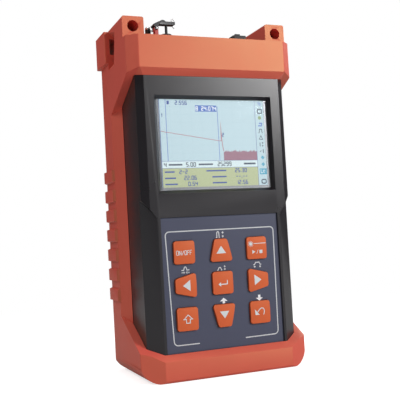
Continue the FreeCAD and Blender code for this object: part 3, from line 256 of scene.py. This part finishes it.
# %% The object's finishes
FINISHES = {
    "boot_rubber": finish_of("boot_rubber", (0.61, 0.070, 0.058), 0.50, grain=0.012, grain_size=0.35,
                             sheen=(0.9, 1.0, 0.45), gloss=1.0),
    "dark_housing": finish_of("dark_housing", (0.013, 0.011, 0.014), 0.28, grain=0.014, grain_size=0.5,
                              rough_drift=0.02, gloss=0.6),
    "black_rubber": finish_of("black_rubber", (0.018, 0.018, 0.019), 0.6, grain=0.02, grain_size=0.4),
    "silver_frame": finish_of("silver_frame", (0.27, 0.28, 0.30), 0.34, metallic=1.0),
    "display_picture": finish_of("display_picture", (0.50, 0.70, 0.79), 0.5, drift=0.02),
    "white_plastic": finish_of("white_plastic", (0.75, 0.75, 0.72), 0.5),
    "label_film": finish_of("label_film", (0.057, 0.063, 0.105), 0.33, drift=0.04, rough_drift=0.02),
    "grey_silicone": finish_of("grey_silicone", (0.25, 0.25, 0.26), 0.6),
    "dark_metal": finish_of("dark_metal", (0.032, 0.032, 0.033), 0.32, metallic=0.5),
    "steel": finish_of("steel", (0.62, 0.62, 0.62), 0.3, metallic=1.0),
    "nickel": finish_of("nickel", (0.70, 0.69, 0.66), 0.2, metallic=1.0),
    "circuit_board": finish_of("circuit_board", (0.02, 0.12, 0.05), 0.4),
    "black_plastic": finish_of("black_plastic", (0.02, 0.02, 0.021), 0.38, grain=0.01, grain_size=0.3),
    "ribbon_film": finish_of("ribbon_film", (0.45, 0.20, 0.04), 0.3),
    "module_case": finish_of("module_case", (0.55, 0.56, 0.58), 0.45, metallic=1.0, grain=0.01),
    "yellow_jacket": finish_of("yellow_jacket", (0.70, 0.52, 0.03), 0.4),
    "battery_wrap": finish_of("battery_wrap", (0.02, 0.06, 0.22), 0.3),
    "ceramic": finish_of("ceramic", (0.80, 0.79, 0.74), 0.15),
    "red_block": finish_of("red_block", (0.50, 0.055, 0.045), 0.45, grain=0.01, grain_size=0.4),
    "orange_key": finish_of("orange_key", (0.60, 0.105, 0.034), 0.5, grain=0.01, grain_size=0.35,
                            sheen=(1.0, 0.72, 0.45)),
}
print("plain finishes:", len(FINISHES))


# %% [markdown]
# ## The window
# A clear pane lies in front of the display. Glass with transmission would be the exact way, but every ray
# would then have to bend through a sheet 0.8 mm thin. So the pane is all but transparent, and only its
# smooth surface is left to mirror the room. Then every piece of the frame gets the finish that its record
# names.

# %% Window and finishes on the pieces
def clear_lens():
    """The display's window: clear, very smooth, and almost without a tint."""
    material = bpy.data.materials.new("clear_lens")
    material.use_nodes = True
    shader = material.node_tree.nodes["Principled BSDF"]
    shader.inputs["Base Color"].default_value = (0.96, 0.98, 1.0, 1)
    shader.inputs["Roughness"].default_value = 0.03
    shader.inputs["Specular IOR Level"].default_value = 0.3
    shader.inputs["Alpha"].default_value = 0.04
    return material


FINISHES["clear_lens"] = clear_lens()
for node, piece in NODES.items():
    piece.data.materials.clear()
    piece.data.materials.append(FINISHES[SLOT_OF[node]])
print("finishes:", len(FINISHES), "on", len(NODES), "pieces")


# %% [markdown]
# ## Softened mouldings
# A moulded edge is never sharp: light catches it as a thin bright line. The frame's pieces have the right
# form but crisp edges. For each visible moulding we take a copy, weld its triangles into one skin, join
# those that lie in one plane and let a Bevel modifier round the sharp edges that are left. A copy is
# taken because the frame's own mesh has to stay as it came. The copy then stands for the frame's piece.

# %% Softened copies
SHARP, FLAT = math.radians(32), math.radians(0.6)
SKIN_WELD = 0.002 * MM  # corners that lie closer than this become one


def softened(node, width):
    """A welded copy of a node with every edge sharper than SHARP rounded to width millimetres."""
    source = NODES[node]
    mesh = source.data.copy()
    work = bmesh.new()
    work.from_mesh(mesh)
    bmesh.ops.remove_doubles(work, verts=work.verts, dist=SKIN_WELD)
    bmesh.ops.dissolve_limit(work, angle_limit=FLAT, verts=work.verts, edges=work.edges)
    work.to_mesh(mesh)
    work.free()
    mesh.shade_smooth()
    mesh.set_sharp_from_angle(angle=SHARP)
    piece = bpy.data.objects.new(node + "_skin", mesh)
    bpy.context.scene.collection.objects.link(piece)
    bevel = piece.modifiers.new("soft_edges", "BEVEL")
    bevel.width = width * MM
    bevel.segments = 2
    bevel.limit_method = "ANGLE"
    bevel.angle_limit = SHARP
    bevel.harden_normals = True
    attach(piece, BODY_OF[node])
    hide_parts(node)


SOFT_EDGES = {"rubber_boot": 0.7, "front_housing": 0.35, "rear_housing": 0.4, "battery_door": 0.3,
              "port_cover": 0.3, "dust_cap": 0.15, "hinge_block": 0.15, "otdr_port": 0.12}
for node, width in SOFT_EDGES.items():
    softened(node, width)
print("softened mouldings:", len(SOFT_EDGES))


# %% [markdown]
# ## Drawing with strokes
# The label, the key legends and the picture on the display are all flat marks. A screen printer draws
# such a mark with a line of even width or with a filled patch. We do the same with numpy: a stroke is a
# path whose points are moved half a width to both sides, and a patch is ruled between two edges. Both are
# small grids of points. An image texture would do too, but strokes stay crisp at any distance and need no
# picture file.

# %% Strokes and patches
QUARTER = math.pi / 2


def stroke(path, width, closed=False):
    """Grid of two rows: the path moved to each side by width / 2, and by more at corners.

    At a corner the reach is width / 2 / cos(half the turn), so that the line keeps its width round it.
    It is at most 2.5 times width / 2, so that a sharp corner gets no long tip.
    """
    path = np.asarray(path, float)
    if closed:
        path = np.vstack([path, path[:1]])
    step = np.diff(path, axis=0)
    unit = step / np.linalg.norm(step, axis=1, keepdims=True)
    before = np.vstack([unit[-1:] if closed else unit[:1], unit])
    after = np.vstack([unit, unit[:1] if closed else unit[-1:]])
    mean = before + after
    mean = mean / np.maximum(np.linalg.norm(mean, axis=1, keepdims=True), 1e-9)
    side = np.stack([-mean[:, 1], mean[:, 0]], axis=1)
    reach = width / 2 / np.clip(np.sum(mean * after, axis=1), 0.4, 1.0)
    return np.stack([path - side * reach[:, None], path + side * reach[:, None]])


def patch(lower, upper):
    """Grid of two rows that spans the space between a lower and an upper edge with as many points."""
    return np.stack([np.asarray(lower, float), np.asarray(upper, float)])


def box_patch(x0, x1, z0, z1):
    """Upright rectangle from its four sides."""
    return patch([(x0, z0), (x1, z0)], [(x0, z1), (x1, z1)])


def wheel(x, z, r, count, start=0.0, turn=2 * math.pi):
    """Points of an arc: x + r cos t, z + r sin t, for t from start to start + turn."""
    t = start + np.linspace(0, turn, count)
    return np.stack([x + r * np.cos(t), z + r * np.sin(t)], axis=1)


def disc(x, z, r):
    """Filled circle: a patch between its lower and its upper half."""
    lower = wheel(x, z, r, 13, math.pi, math.pi)
    return patch(lower, lower * (1, -1) + (0, 2 * z))


def triangle(a, b, tip):
    """Filled triangle: a patch from the side a-b, run together at the tip."""
    return patch([a, b], [tip, tip])


def rounded_frame(x0, x1, z0, z1, r, count=7):
    """Closed path of a rectangle with quarter circles of radius r at its corners, count points on each."""
    middles = [(x1 - r, z0 + r), (x1 - r, z1 - r), (x0 + r, z1 - r), (x0 + r, z0 + r)]
    return np.vstack([wheel(x, z, r, count, (corner - 1) * QUARTER, QUARTER)
                      for corner, (x, z) in enumerate(middles)])


test_line = stroke([(0, 0), (10, 0)], 1.0)
print("a stroke 10 mm long and 1 mm wide spans", np.ptp(test_line[..., 0]), "by", np.ptp(test_line[..., 1]))


# %% Grids into one mesh
WELD = 0.004 * MM  # points that lie closer than this become one


def printed(name, grids, finish, body, surface):
    """One piece from many x-z grids. surface(x, z) gives the depth y.

    A face's turn is the sign of the cross product of its diagonals. Faces that turn the wrong way are
    reversed, so that all of them look to -Y.
    """
    points, faces, count = [], [], 0
    for grid in grids:
        rows, columns = grid.shape[:2]
        x, z = grid[..., 0].ravel(), grid[..., 1].ravel()
        points.append(np.stack([x, surface(x, z), z], axis=1))
        index = count + np.arange(rows * columns).reshape(rows, columns)
        quad = np.stack([index[:-1, :-1], index[:-1, 1:], index[1:, 1:], index[1:, :-1]], axis=-1)
        quad = quad.reshape(-1, 4)
        flat = np.stack([x, z], axis=1)[quad - count]
        first, second = flat[:, 2] - flat[:, 0], flat[:, 3] - flat[:, 1]
        area = first[:, 0] * second[:, 1] - first[:, 1] * second[:, 0]
        quad[area < 0] = quad[area < 0][:, ::-1]
        faces.append(quad)
        count += rows * columns
    points, faces = np.vstack(points) * MM, np.vstack(faces)
    mesh = bpy.data.meshes.new(name)
    mesh.from_pydata(points.tolist(), [], faces.tolist())
    work = bmesh.new()
    work.from_mesh(mesh)
    bmesh.ops.remove_doubles(work, verts=work.verts, dist=WELD)
    work.to_mesh(mesh)
    work.free()
    mesh.update()
    piece = bpy.data.objects.new(name, mesh)
    piece.data.materials.append(finish)
    bpy.context.scene.collection.objects.link(piece)
    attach(piece, body)
    print(name + ":", len(faces), "faces")


# %% Inks
def ink(name, color, roughness=0.5, glow=0.0):
    """Flat printing ink. glow is the share of the colour that a lit display gives off by itself."""
    material = bpy.data.materials.new(name)
    material.use_nodes = True
    shader = material.node_tree.nodes["Principled BSDF"]
    shader.inputs["Base Color"].default_value = (*[c * (1 - glow) for c in color], 1)
    shader.inputs["Roughness"].default_value = roughness
    shader.inputs["Emission Color"].default_value = (*color, 1)
    shader.inputs["Emission Strength"].default_value = glow
    return material


def srgb(code):
    """Linear colour of a six-digit code: each part is raised to 2.4 after (c + 0.055) / 1.055."""
    part = np.array([int(code[i:i + 2], 16) for i in (0, 2, 4)]) / 255
    return tuple(np.where(part <= 0.04045, part / 12.92, ((part + 0.055) / 1.055) ** 2.4))


print("white as a linear colour:", srgb("FFFFFF"))


# %% [markdown]
# ## The printed label
# The film round the keys carries one rounded line and a few signs: pulses with small marks over four keys
# and two bold arrows over the lower ones. The line comes a little closer together towards its foot and
# stops short of the middle there. The maker's and the model's names are left off, and their places stay
# bare. The ink lies a little in front of the film, so that the two surfaces never share a place.

# %% Label line
FILM_Y, INK_LIFT = -30.1, 0.03  # depth of the film's face, and how far ink stands off what it is printed on
LINE_WIDTH, SIGN_WIDTH = 0.62, 0.55
label_white = ink("label_white", srgb("C9CBCD"), 0.45)
bright_white = ink("bright_white", srgb("E9ECEE"), 0.45)


def on_label(x, z):
    """Depth of the ink on the film: the same everywhere."""
    return np.full_like(x, FILM_Y - INK_LIFT)


line_path = np.vstack([
    [(12.6, 21.0)], wheel(32.6, 23.8, 2.6, 7, -QUARTER, QUARTER), wheel(33.4, 86.0, 2.4, 7, 0, QUARTER),
    wheel(-33.9, 86.0, 2.4, 7, QUARTER, QUARTER), wheel(-31.6, 23.3, 2.6, 7, 2 * QUARTER, QUARTER),
    [(-18.0, 20.7)]])
printed("label_line", [stroke(line_path, LINE_WIDTH)], label_white, "instrument", on_label)


# %% Signs over the keys
def pulse(points):
    """Thin line through the given points."""
    return stroke(points, SIGN_WIDTH)


def diamond(x, z, r):
    """Small square on its corner."""
    return patch([(x - r, z), (x, z - r), (x + r, z)], [(x - r, z), (x, z + r), (x + r, z)])


label_signs = [
    # over the up key: a square pulse and two dots
    pulse([(-3.6, 83.5), (-3.0, 83.5), (-2.9, 86.4), (-2.5, 87.0), (-1.9, 87.0), (-1.6, 86.4), (-1.5, 83.5),
           (-1.0, 83.5)]),
    diamond(1.0, 86.4, 0.75), diamond(1.0, 84.1, 0.75),
    # over the left key: a narrow pulse, and two dots on a line under it
    pulse([(-27.2, 65.0), (-25.8, 65.0), (-25.3, 66.6), (-24.7, 67.0), (-24.1, 66.6), (-23.7, 65.0),
           (-22.1, 65.1)]),
    diamond(-25.7, 63.6, 0.7), diamond(-23.7, 63.6, 0.75),
    pulse([(-27.2, 63.6), (-25.9, 63.6)]), pulse([(-23.6, 63.6), (-22.2, 63.6)]),
    # over the enter key: a low pulse and two dots
    pulse([(-4.0, 63.5), (-3.4, 63.5), (-2.8, 64.9), (-2.2, 65.2), (-1.6, 64.9), (-1.1, 63.5),
           (-0.6, 63.5)]),
    diamond(1.1, 65.6, 0.65), diamond(1.1, 63.9, 0.7),
    # over the right key: a wide pulse with a dot under each of its sides
    pulse([(20.6, 65.2), (21.5, 65.3), (22.2, 66.6), (24.7, 66.6), (25.3, 65.3), (26.2, 65.2)]),
    diamond(21.5, 64.0, 0.7), diamond(25.2, 64.0, 0.7)]
bold_arrows = [  # one up, over the down key, and one down, over the back key
    triangle((-3.3, 44.5), (1.8, 44.5), (-0.8, 46.5)), box_patch(-1.6, 0.0, 43.1, 44.6),
    triangle((21.0, 44.6), (25.8, 44.6), (23.4, 42.7)), box_patch(22.6, 24.2, 44.5, 46.4)]
printed("label_signs", label_signs, label_white, "instrument", on_label)
printed("label_arrows", bold_arrows, bright_white, "instrument", on_label)


# %% [markdown]
# ## Key legends
# Each key's face is a shallow dome, so its legend has to lie on a dome too: the depth of every point
# follows the same ball that crowns the key, and a mark is cut finer before it is bent. A flat legend
# would have been simpler, but its middle would sink into the dome.

# %% Marks on a crowned key
KEY_TOP_Y, KEY_HEIGHT, KEY_CROWN = -32.0, 13.7, 0.5
CROWN_R = (KEY_HEIGHT / 2 + 1) ** 2 / (2 * KEY_CROWN) + KEY_CROWN / 2
CUTS = 3


def on_key(cx, cz):
    """Depth on a key's crown: y = top + R - sqrt(R^2 - dx^2 - dz^2), less the lift of the ink."""
    def depth(x, z):
        return KEY_TOP_Y + CROWN_R - np.sqrt(CROWN_R ** 2 - (x - cx) ** 2 - (z - cz) ** 2) - INK_LIFT
    return depth


def finer(grid):
    """The same two-row grid with CUTS faces in place of one, across and up, to follow the crown."""
    columns = grid.shape[1]
    across = np.linspace(0, columns - 1, (columns - 1) * CUTS + 1)
    low = np.minimum(across.astype(int), columns - 2)
    share = (across - low)[None, :, None]
    wide = grid[:, low] * (1 - share) + grid[:, low + 1] * share
    up = np.linspace(0, 1, CUTS + 1)[:, None, None]
    return wide[0] * (1 - up) + wide[1] * up


print("crown radius:", round(CROWN_R, 2), "mm")


# %% [markdown]
# ## The signs on the keys
# Four keys carry a triangle, one ON/OFF, and the others a plain sign. All are drawn round (0, 0) and then
# moved to their key. Each legend rides its own key, so that it goes in when the key is pressed.

# %% Letters and rays
LETTER_WIDTH, LETTER_HEIGHT, LETTER_STEP, LETTER_PEN = 1.25, 2.6, 1.72, 0.36


def letter(shape, x, z):
    """One mark of ON/OFF from straight strokes, its lower left corner at (x, z)."""
    u, v = x + LETTER_WIDTH, z + LETTER_HEIGHT
    bar = z + 0.52 * LETTER_HEIGHT
    paths = {
        "O": [rounded_frame(x, u, z, v, 0.5, 4)],
        "/": [[(x, z), (u, v)]],
        "N": [[(x, z), (x, v)], [(x, v), (u, z)], [(u, z), (u, v)]],
        "F": [[(x, z), (x, v)], [(x, v), (u, v)], [(x, bar), (u - 0.25, bar)]]}
    return [stroke(path, LETTER_PEN, closed=shape == "O") for path in paths[shape]]


def rays(x, z, inner, outer, count, width):
    """Short strokes from radius inner to radius outer, evenly round a centre."""
    ends = np.stack([wheel(x, z, r, count + 1) for r in (inner, outer)], axis=1)
    return [stroke(ray, width) for ray in ends[:count]]


on_off = [part for index, shape in enumerate("ON/OFF")
          for part in letter(shape, -5.2 + LETTER_STEP * index, -1.5)]
print("strokes in ON/OFF:", len(on_off))

# %% Legends of the nine keys
KEYPAD_X, KEYPAD_Z = -1.1, 55.8  # centre of the middle key
PITCH_X, PITCH_Z = 24.1, 19.9  # from one key to the next
LEGENDS = {  # column, row, and the marks round the key's centre
    "power": (-1, 1, on_off),
    "up": (0, 1, [triangle((-3.5, -2.0), (2.9, -2.0), (-0.3, 2.6))]),
    "run": (1, 1, [
        disc(-4.2, 2.6, 0.95), *rays(-4.2, 2.6, 0.9, 1.9, 12, 0.25), stroke([(-2.0, 2.7), (6.2, 2.8)], 0.4),
        triangle((-3.4, -3.6), (-3.4, -1.2), (-1.2, -2.4)), stroke([(-0.4, -3.6), (0.7, -1.2)], 0.35),
        box_patch(1.5, 3.6, -3.45, -1.35)]),
    "left": (-1, 0, [triangle((2.5, -3.3), (2.5, 3.4), (-2.2, 0))]),
    "enter": (0, 0, [
        stroke([(2.6, 1.5), (2.6, -0.9), (-2.0, -0.9)], 0.6),
        triangle((-1.6, -2.2), (-1.6, 0.4), (-3.4, -0.9))]),
    "right": (1, 0, [triangle((-3.0, 3.4), (-3.0, -3.2), (1.7, 0.1))]),
    "shift": (-1, -1, [
        stroke([(0, 2.6), (2.7, 0), (1.2, 0), (1.2, -2.3), (-1.2, -2.3), (-1.2, 0), (-2.7, 0)], 0.5,
               closed=True)]),
    "down": (0, -1, [triangle((-3.4, 2.7), (2.8, 2.7), (-0.3, -1.7))]),
    "back": (1, -1, [
        triangle((-4.0, 1.9), (-0.9, -1.6), (-3.7, -1.7)),
        stroke([(-2.2, 0.1), (-0.9, 1.5), (0.4, 2.4), (1.6, 2.3), (2.4, 1.3), (2.4, -0.2), (1.8, -1.8)],
               0.5)])}
legend_white = ink("legend_white", srgb("CDD2D4"), 0.5)
for name, (column, row, grids) in LEGENDS.items():
    centre = (KEYPAD_X + column * PITCH_X, KEYPAD_Z + row * PITCH_Z)
    moved = [finer(grid) + centre for grid in grids]
    printed("legend_" + name, moved, legend_white, name + "_key", on_key(*centre))


# %% [markdown]
# ## The picture on the display
# The display shows what a reflectometer measures: light scattered back along the fibre. It is drawn in
# layers a hundredth of a millimetre apart, each in front of the one before. The inks give off a good part
# of their colour by themselves, because the picture is lit from behind. A light behind a clear picture
# would be closer to the real thing, but it would need a bright lamp inside the housing. The sky, a fine
# grid and two bands come first.

# %% Inks and layers of the picture
PANEL_Y, LAYER_STEP = -27.6, 0.012  # depth of the panel's face, and from one layer to the next
GLOW = 0.43
SCREEN_COLORS = {
    "sky": "BCD7E0", "grid": "A8CAD6", "cursor": "6686CC", "navy": "2C4C9C", "blue": "3C6CC0",
    "pale": "D8EBEF", "green": "B4BF92", "trace": "B0707F", "noise": "96687C", "white": "EEF6FA",
    "slate": "34485E", "teal": "4AA5C4", "leaf": "8DA878"}
INKS = {name: ink("screen_" + name, srgb(code), 0.5, GLOW) for name, code in SCREEN_COLORS.items()}


def on_screen(layer):
    """Depth of a layer of the picture: that of the panel, less layer times LAYER_STEP."""
    def depth(x, z):
        return np.full_like(x, PANEL_Y - LAYER_STEP * layer)
    return depth


def show(name, color, layer, grids):
    """Put marks of one colour on the display."""
    printed("screen_" + name, grids, INKS[color], "instrument", on_screen(layer))


print("screen inks:", len(INKS))

# %% Sky, grid and bands
LEFT, RIGHT = -35.2, 29.0  # sides of the graph and of the bands under it
GRAPH_LOW, GRAPH_TOP = 131.2, 169.1
PALE_LOW, PALE_TOP = 126.9, 131.0
GREEN_LOW, GREEN_TOP = 115.0, 126.7
HAIR = 0.12


def upright(x, z0, z1, pen):
    """Upright line of width pen."""
    return box_patch(x - pen / 2, x + pen / 2, z0, z1)


def level(z, x0, x1, pen):
    """Level line of width pen."""
    return box_patch(x0, x1, z - pen / 2, z + pen / 2)


show("ground", "sky", 1, [box_patch(-35.6, 35.6, 114.9, 169.3)])
show("grid", "grid", 2, [upright(x, GRAPH_LOW, GRAPH_TOP, HAIR) for x in np.arange(-28.2, RIGHT, 6.9)]
     + [level(z, -35.1, 29.2, HAIR) for z in np.arange(136.0, 169.0, 4.75)])
show("bands", "pale", 2, [box_patch(LEFT, RIGHT, PALE_LOW, PALE_TOP)])
show("band_green", "green", 2, [box_patch(LEFT, RIGHT, GREEN_LOW, GREEN_TOP)])


# %% [markdown]
# ## The trace
# The line of the measurement falls slowly with a little ripple, leaps up where the fibre ends, and drops
# into noise. Two cursors mark two places on it. The noise is a patch with a ragged upper edge: random
# heights, every second one doubled, cut off at the same level.

# %% Cursors and rules
show("cursors", "cursor", 3, [
    upright(-30.95, GRAPH_LOW, GRAPH_TOP, 0.4), upright(3.15, GRAPH_LOW, 165.0, 0.4)])
show("rules", "navy", 3, [
    box_patch(-35.3, -34.95, GREEN_LOW, GRAPH_TOP), box_patch(RIGHT, 29.25, GREEN_LOW, GRAPH_TOP),
    box_patch(LEFT, 29.2, PALE_TOP, GRAPH_LOW), box_patch(LEFT, RIGHT, GREEN_TOP, PALE_LOW)])

# %% Trace and noise
FIBRE_START, FIBRE_END = (-34.8, 149.4), (4.7, 143.3)
way = np.linspace(0, 1, 40)
trace = np.linspace(FIBRE_START, FIBRE_END, 40)
trace[:, 1] += 0.12 * np.sin(61 * way) * np.sin(23 * way)
spike = [FIBRE_END, (4.85, 155.8), (5.15, 146.0), (5.45, 140.4), (6.1, 137.0)]
show("trace", "trace", 4, [stroke(trace, 0.34), stroke(spike, 0.42)])

NOISE_LEVEL, NOISE_REACH, NOISE_POINTS = 136.2, 1.5, 56
bumps = np.abs(np.random.default_rng(7).normal(0, 0.7, NOISE_POINTS)) * (1 + np.arange(NOISE_POINTS) % 2)
noise_top = np.linspace((6.0, NOISE_LEVEL), (RIGHT, NOISE_LEVEL), NOISE_POINTS)
noise_foot = noise_top - (0, NOISE_LEVEL - GRAPH_LOW)
noise_top[:, 1] += np.minimum(bumps, NOISE_REACH)
show("noise", "noise", 4, [patch(noise_foot, noise_top)])
print("highest noise:", round(noise_top[:, 1].max() - NOISE_LEVEL, 2), "mm over its level")


# %% [markdown]
# ## Figures and words
# The display's numbers are so small that seven straight strokes a figure, as on a pocket calculator, give
# the right look with little work, and a font would bring hundreds of faces. The words are too small to
# read, so a plain bar stands for each.

# %% Figures of seven strokes
SEGMENTS = {"a": ((0, 2), (1, 2)), "b": ((1, 1), (1, 2)), "c": ((1, 0), (1, 1)), "d": ((0, 0), (1, 0)),
            "e": ((0, 0), (0, 1)), "f": ((0, 1), (0, 2)), "g": ((0, 1), (1, 1))}
FIGURES = {"0": "abcdef", "1": "bc", "2": "abged", "3": "abgcd", "4": "fgbc", "5": "afgcd", "6": "afgedc",
           "7": "abc", "8": "abcdefg", "9": "abcdfg", "-": "g", " ": ""}
FIGURE_PEN = 0.46


def figures(text, x, z, height):
    """A number from its lower left corner (x, z): the ends of each stroke are multiples of height / 2."""
    grids = []
    for mark in text:
        if mark == ".":
            grids.append(box_patch(x - 0.1, x + 0.4, z, z + 0.5))
            x += 0.4 * height
        else:
            ends = [np.array(SEGMENTS[key]) * (height / 2) + (x, z) for key in FIGURES[mark]]
            grids += [stroke(pair, FIGURE_PEN) for pair in ends]
            x += 0.5 * height + 0.75
    return grids


def figure_rows(rows):
    """The strokes of many numbers, each given as text, x, z and height."""
    return [grid for row in rows for grid in figures(*row)]


show("mark_box", "blue", 3, [box_patch(-11.6, 2.7, 161.7, 165.6)])
show("mark_figures", "white", 4, figures("8 24.074", -11.1, 162.5, 2.25))

# %% Figures and words of the graph and the bands
def word(x, z, width, height):
    """A bar in place of a word, its lower left corner at (x, z)."""
    return box_patch(x, x + width, z, z + height)


show("figures", "navy", 4, figure_rows([
    ("2.556", -24.6, 165.9, 2.2), ("1", -34.6, 158.2, 2.2), ("2", 5.6, 146.3, 2.0),
    ("2-2", -24.0, 123.4, 2.3), ("25.30", 13.2, 123.7, 2.3),
    ("22.06", -21.0, 119.6, 2.3), ("--.--", 13.6, 119.9, 2.3),
    ("0.54", -18.6, 115.9, 2.3), ("12.56", 13.6, 116.2, 2.3)]) + [
    word(-30.1, 165.9, 1.5, 2.2), word(-33.6, 124.1, 6.4, 0.9), word(-33.6, 120.3, 7.0, 0.9),
    word(-33.6, 116.6, 8.0, 0.9), word(-6.4, 124.4, 13.4, 0.9), word(-2.6, 120.6, 9.6, 0.9),
    word(-2.6, 116.9, 9.6, 0.9)])
show("band_figures", "slate", 4, figure_rows([
    ("4", -33.6, 127.7, 2.4), ("5.00", -19.4, 127.7, 2.4), ("25299", 1.6, 127.8, 2.4)]) + [
    word(-30.8, 128.4, 8.8, 1.0), word(-11.2, 128.4, 9.4, 1.0), word(19.4, 128.4, 8.2, 1.1)])


# %% [markdown]
# ## The column of signs
# Down the right side of the display runs a column of small signs: a frame, a bell, a triangle, dots, a
# tool and two bright diamonds. Each is a stroke or a patch like the marks before, one show call for each
# colour.

# %% Signs down the right side
show("column_dark", "slate", 4, [
    stroke(rounded_frame(31.2, 33.9, 161.0, 163.6, 0.3), 0.6, closed=True),
    stroke([(31.2, 148.3), (31.6, 149.0), (31.8, 150.8), (33.2, 150.8), (33.4, 149.0), (33.8, 148.3)],
           0.45),
    stroke([(31.3, 144.3), (32.5, 146.6), (33.7, 144.3), (31.3, 144.3)], 0.4),
    stroke([(31.6, 139.7), (31.6, 142.2)], 0.45), diamond(33.4, 142.0, 0.6), diamond(33.4, 140.2, 0.6),
    stroke([(31.3, 136.2), (32.2, 137.2)], 0.4), stroke([(33.6, 135.6), (33.6, 138.0)], 0.5),
    stroke(rounded_frame(31.4, 34.4, 116.2, 118.6, 0.8), 0.7, closed=True)])
show("column_blue", "cursor", 4, [
    stroke([(31.2, 168.0), (33.4, 165.8)], 0.45), stroke([(32.2, 168.4), (33.8, 166.8)], 0.4),
    box_patch(31.0, 33.6, 152.6, 153.4), box_patch(31.6, 34.0, 154.2, 155.0),
    box_patch(33.0, 33.8, 153.4, 154.2)])
show("column_green", "leaf", 4, [disc(32.3, 158.1, 1.15)])
show("column_teal", "teal", 4, [
    diamond(32.9, 132.7, 1.35), diamond(33.0, 128.4, 1.35), box_patch(30.2, 35.3, 121.9, 125.7)])
show("column_signs", "pale", 5, [
    stroke([(31.2, 125.0), (31.2, 122.9), (32.6, 122.9)], 0.4),
    stroke(wheel(33.4, 123.9, 0.7, 10, 0.4, 5.0), 0.4)])
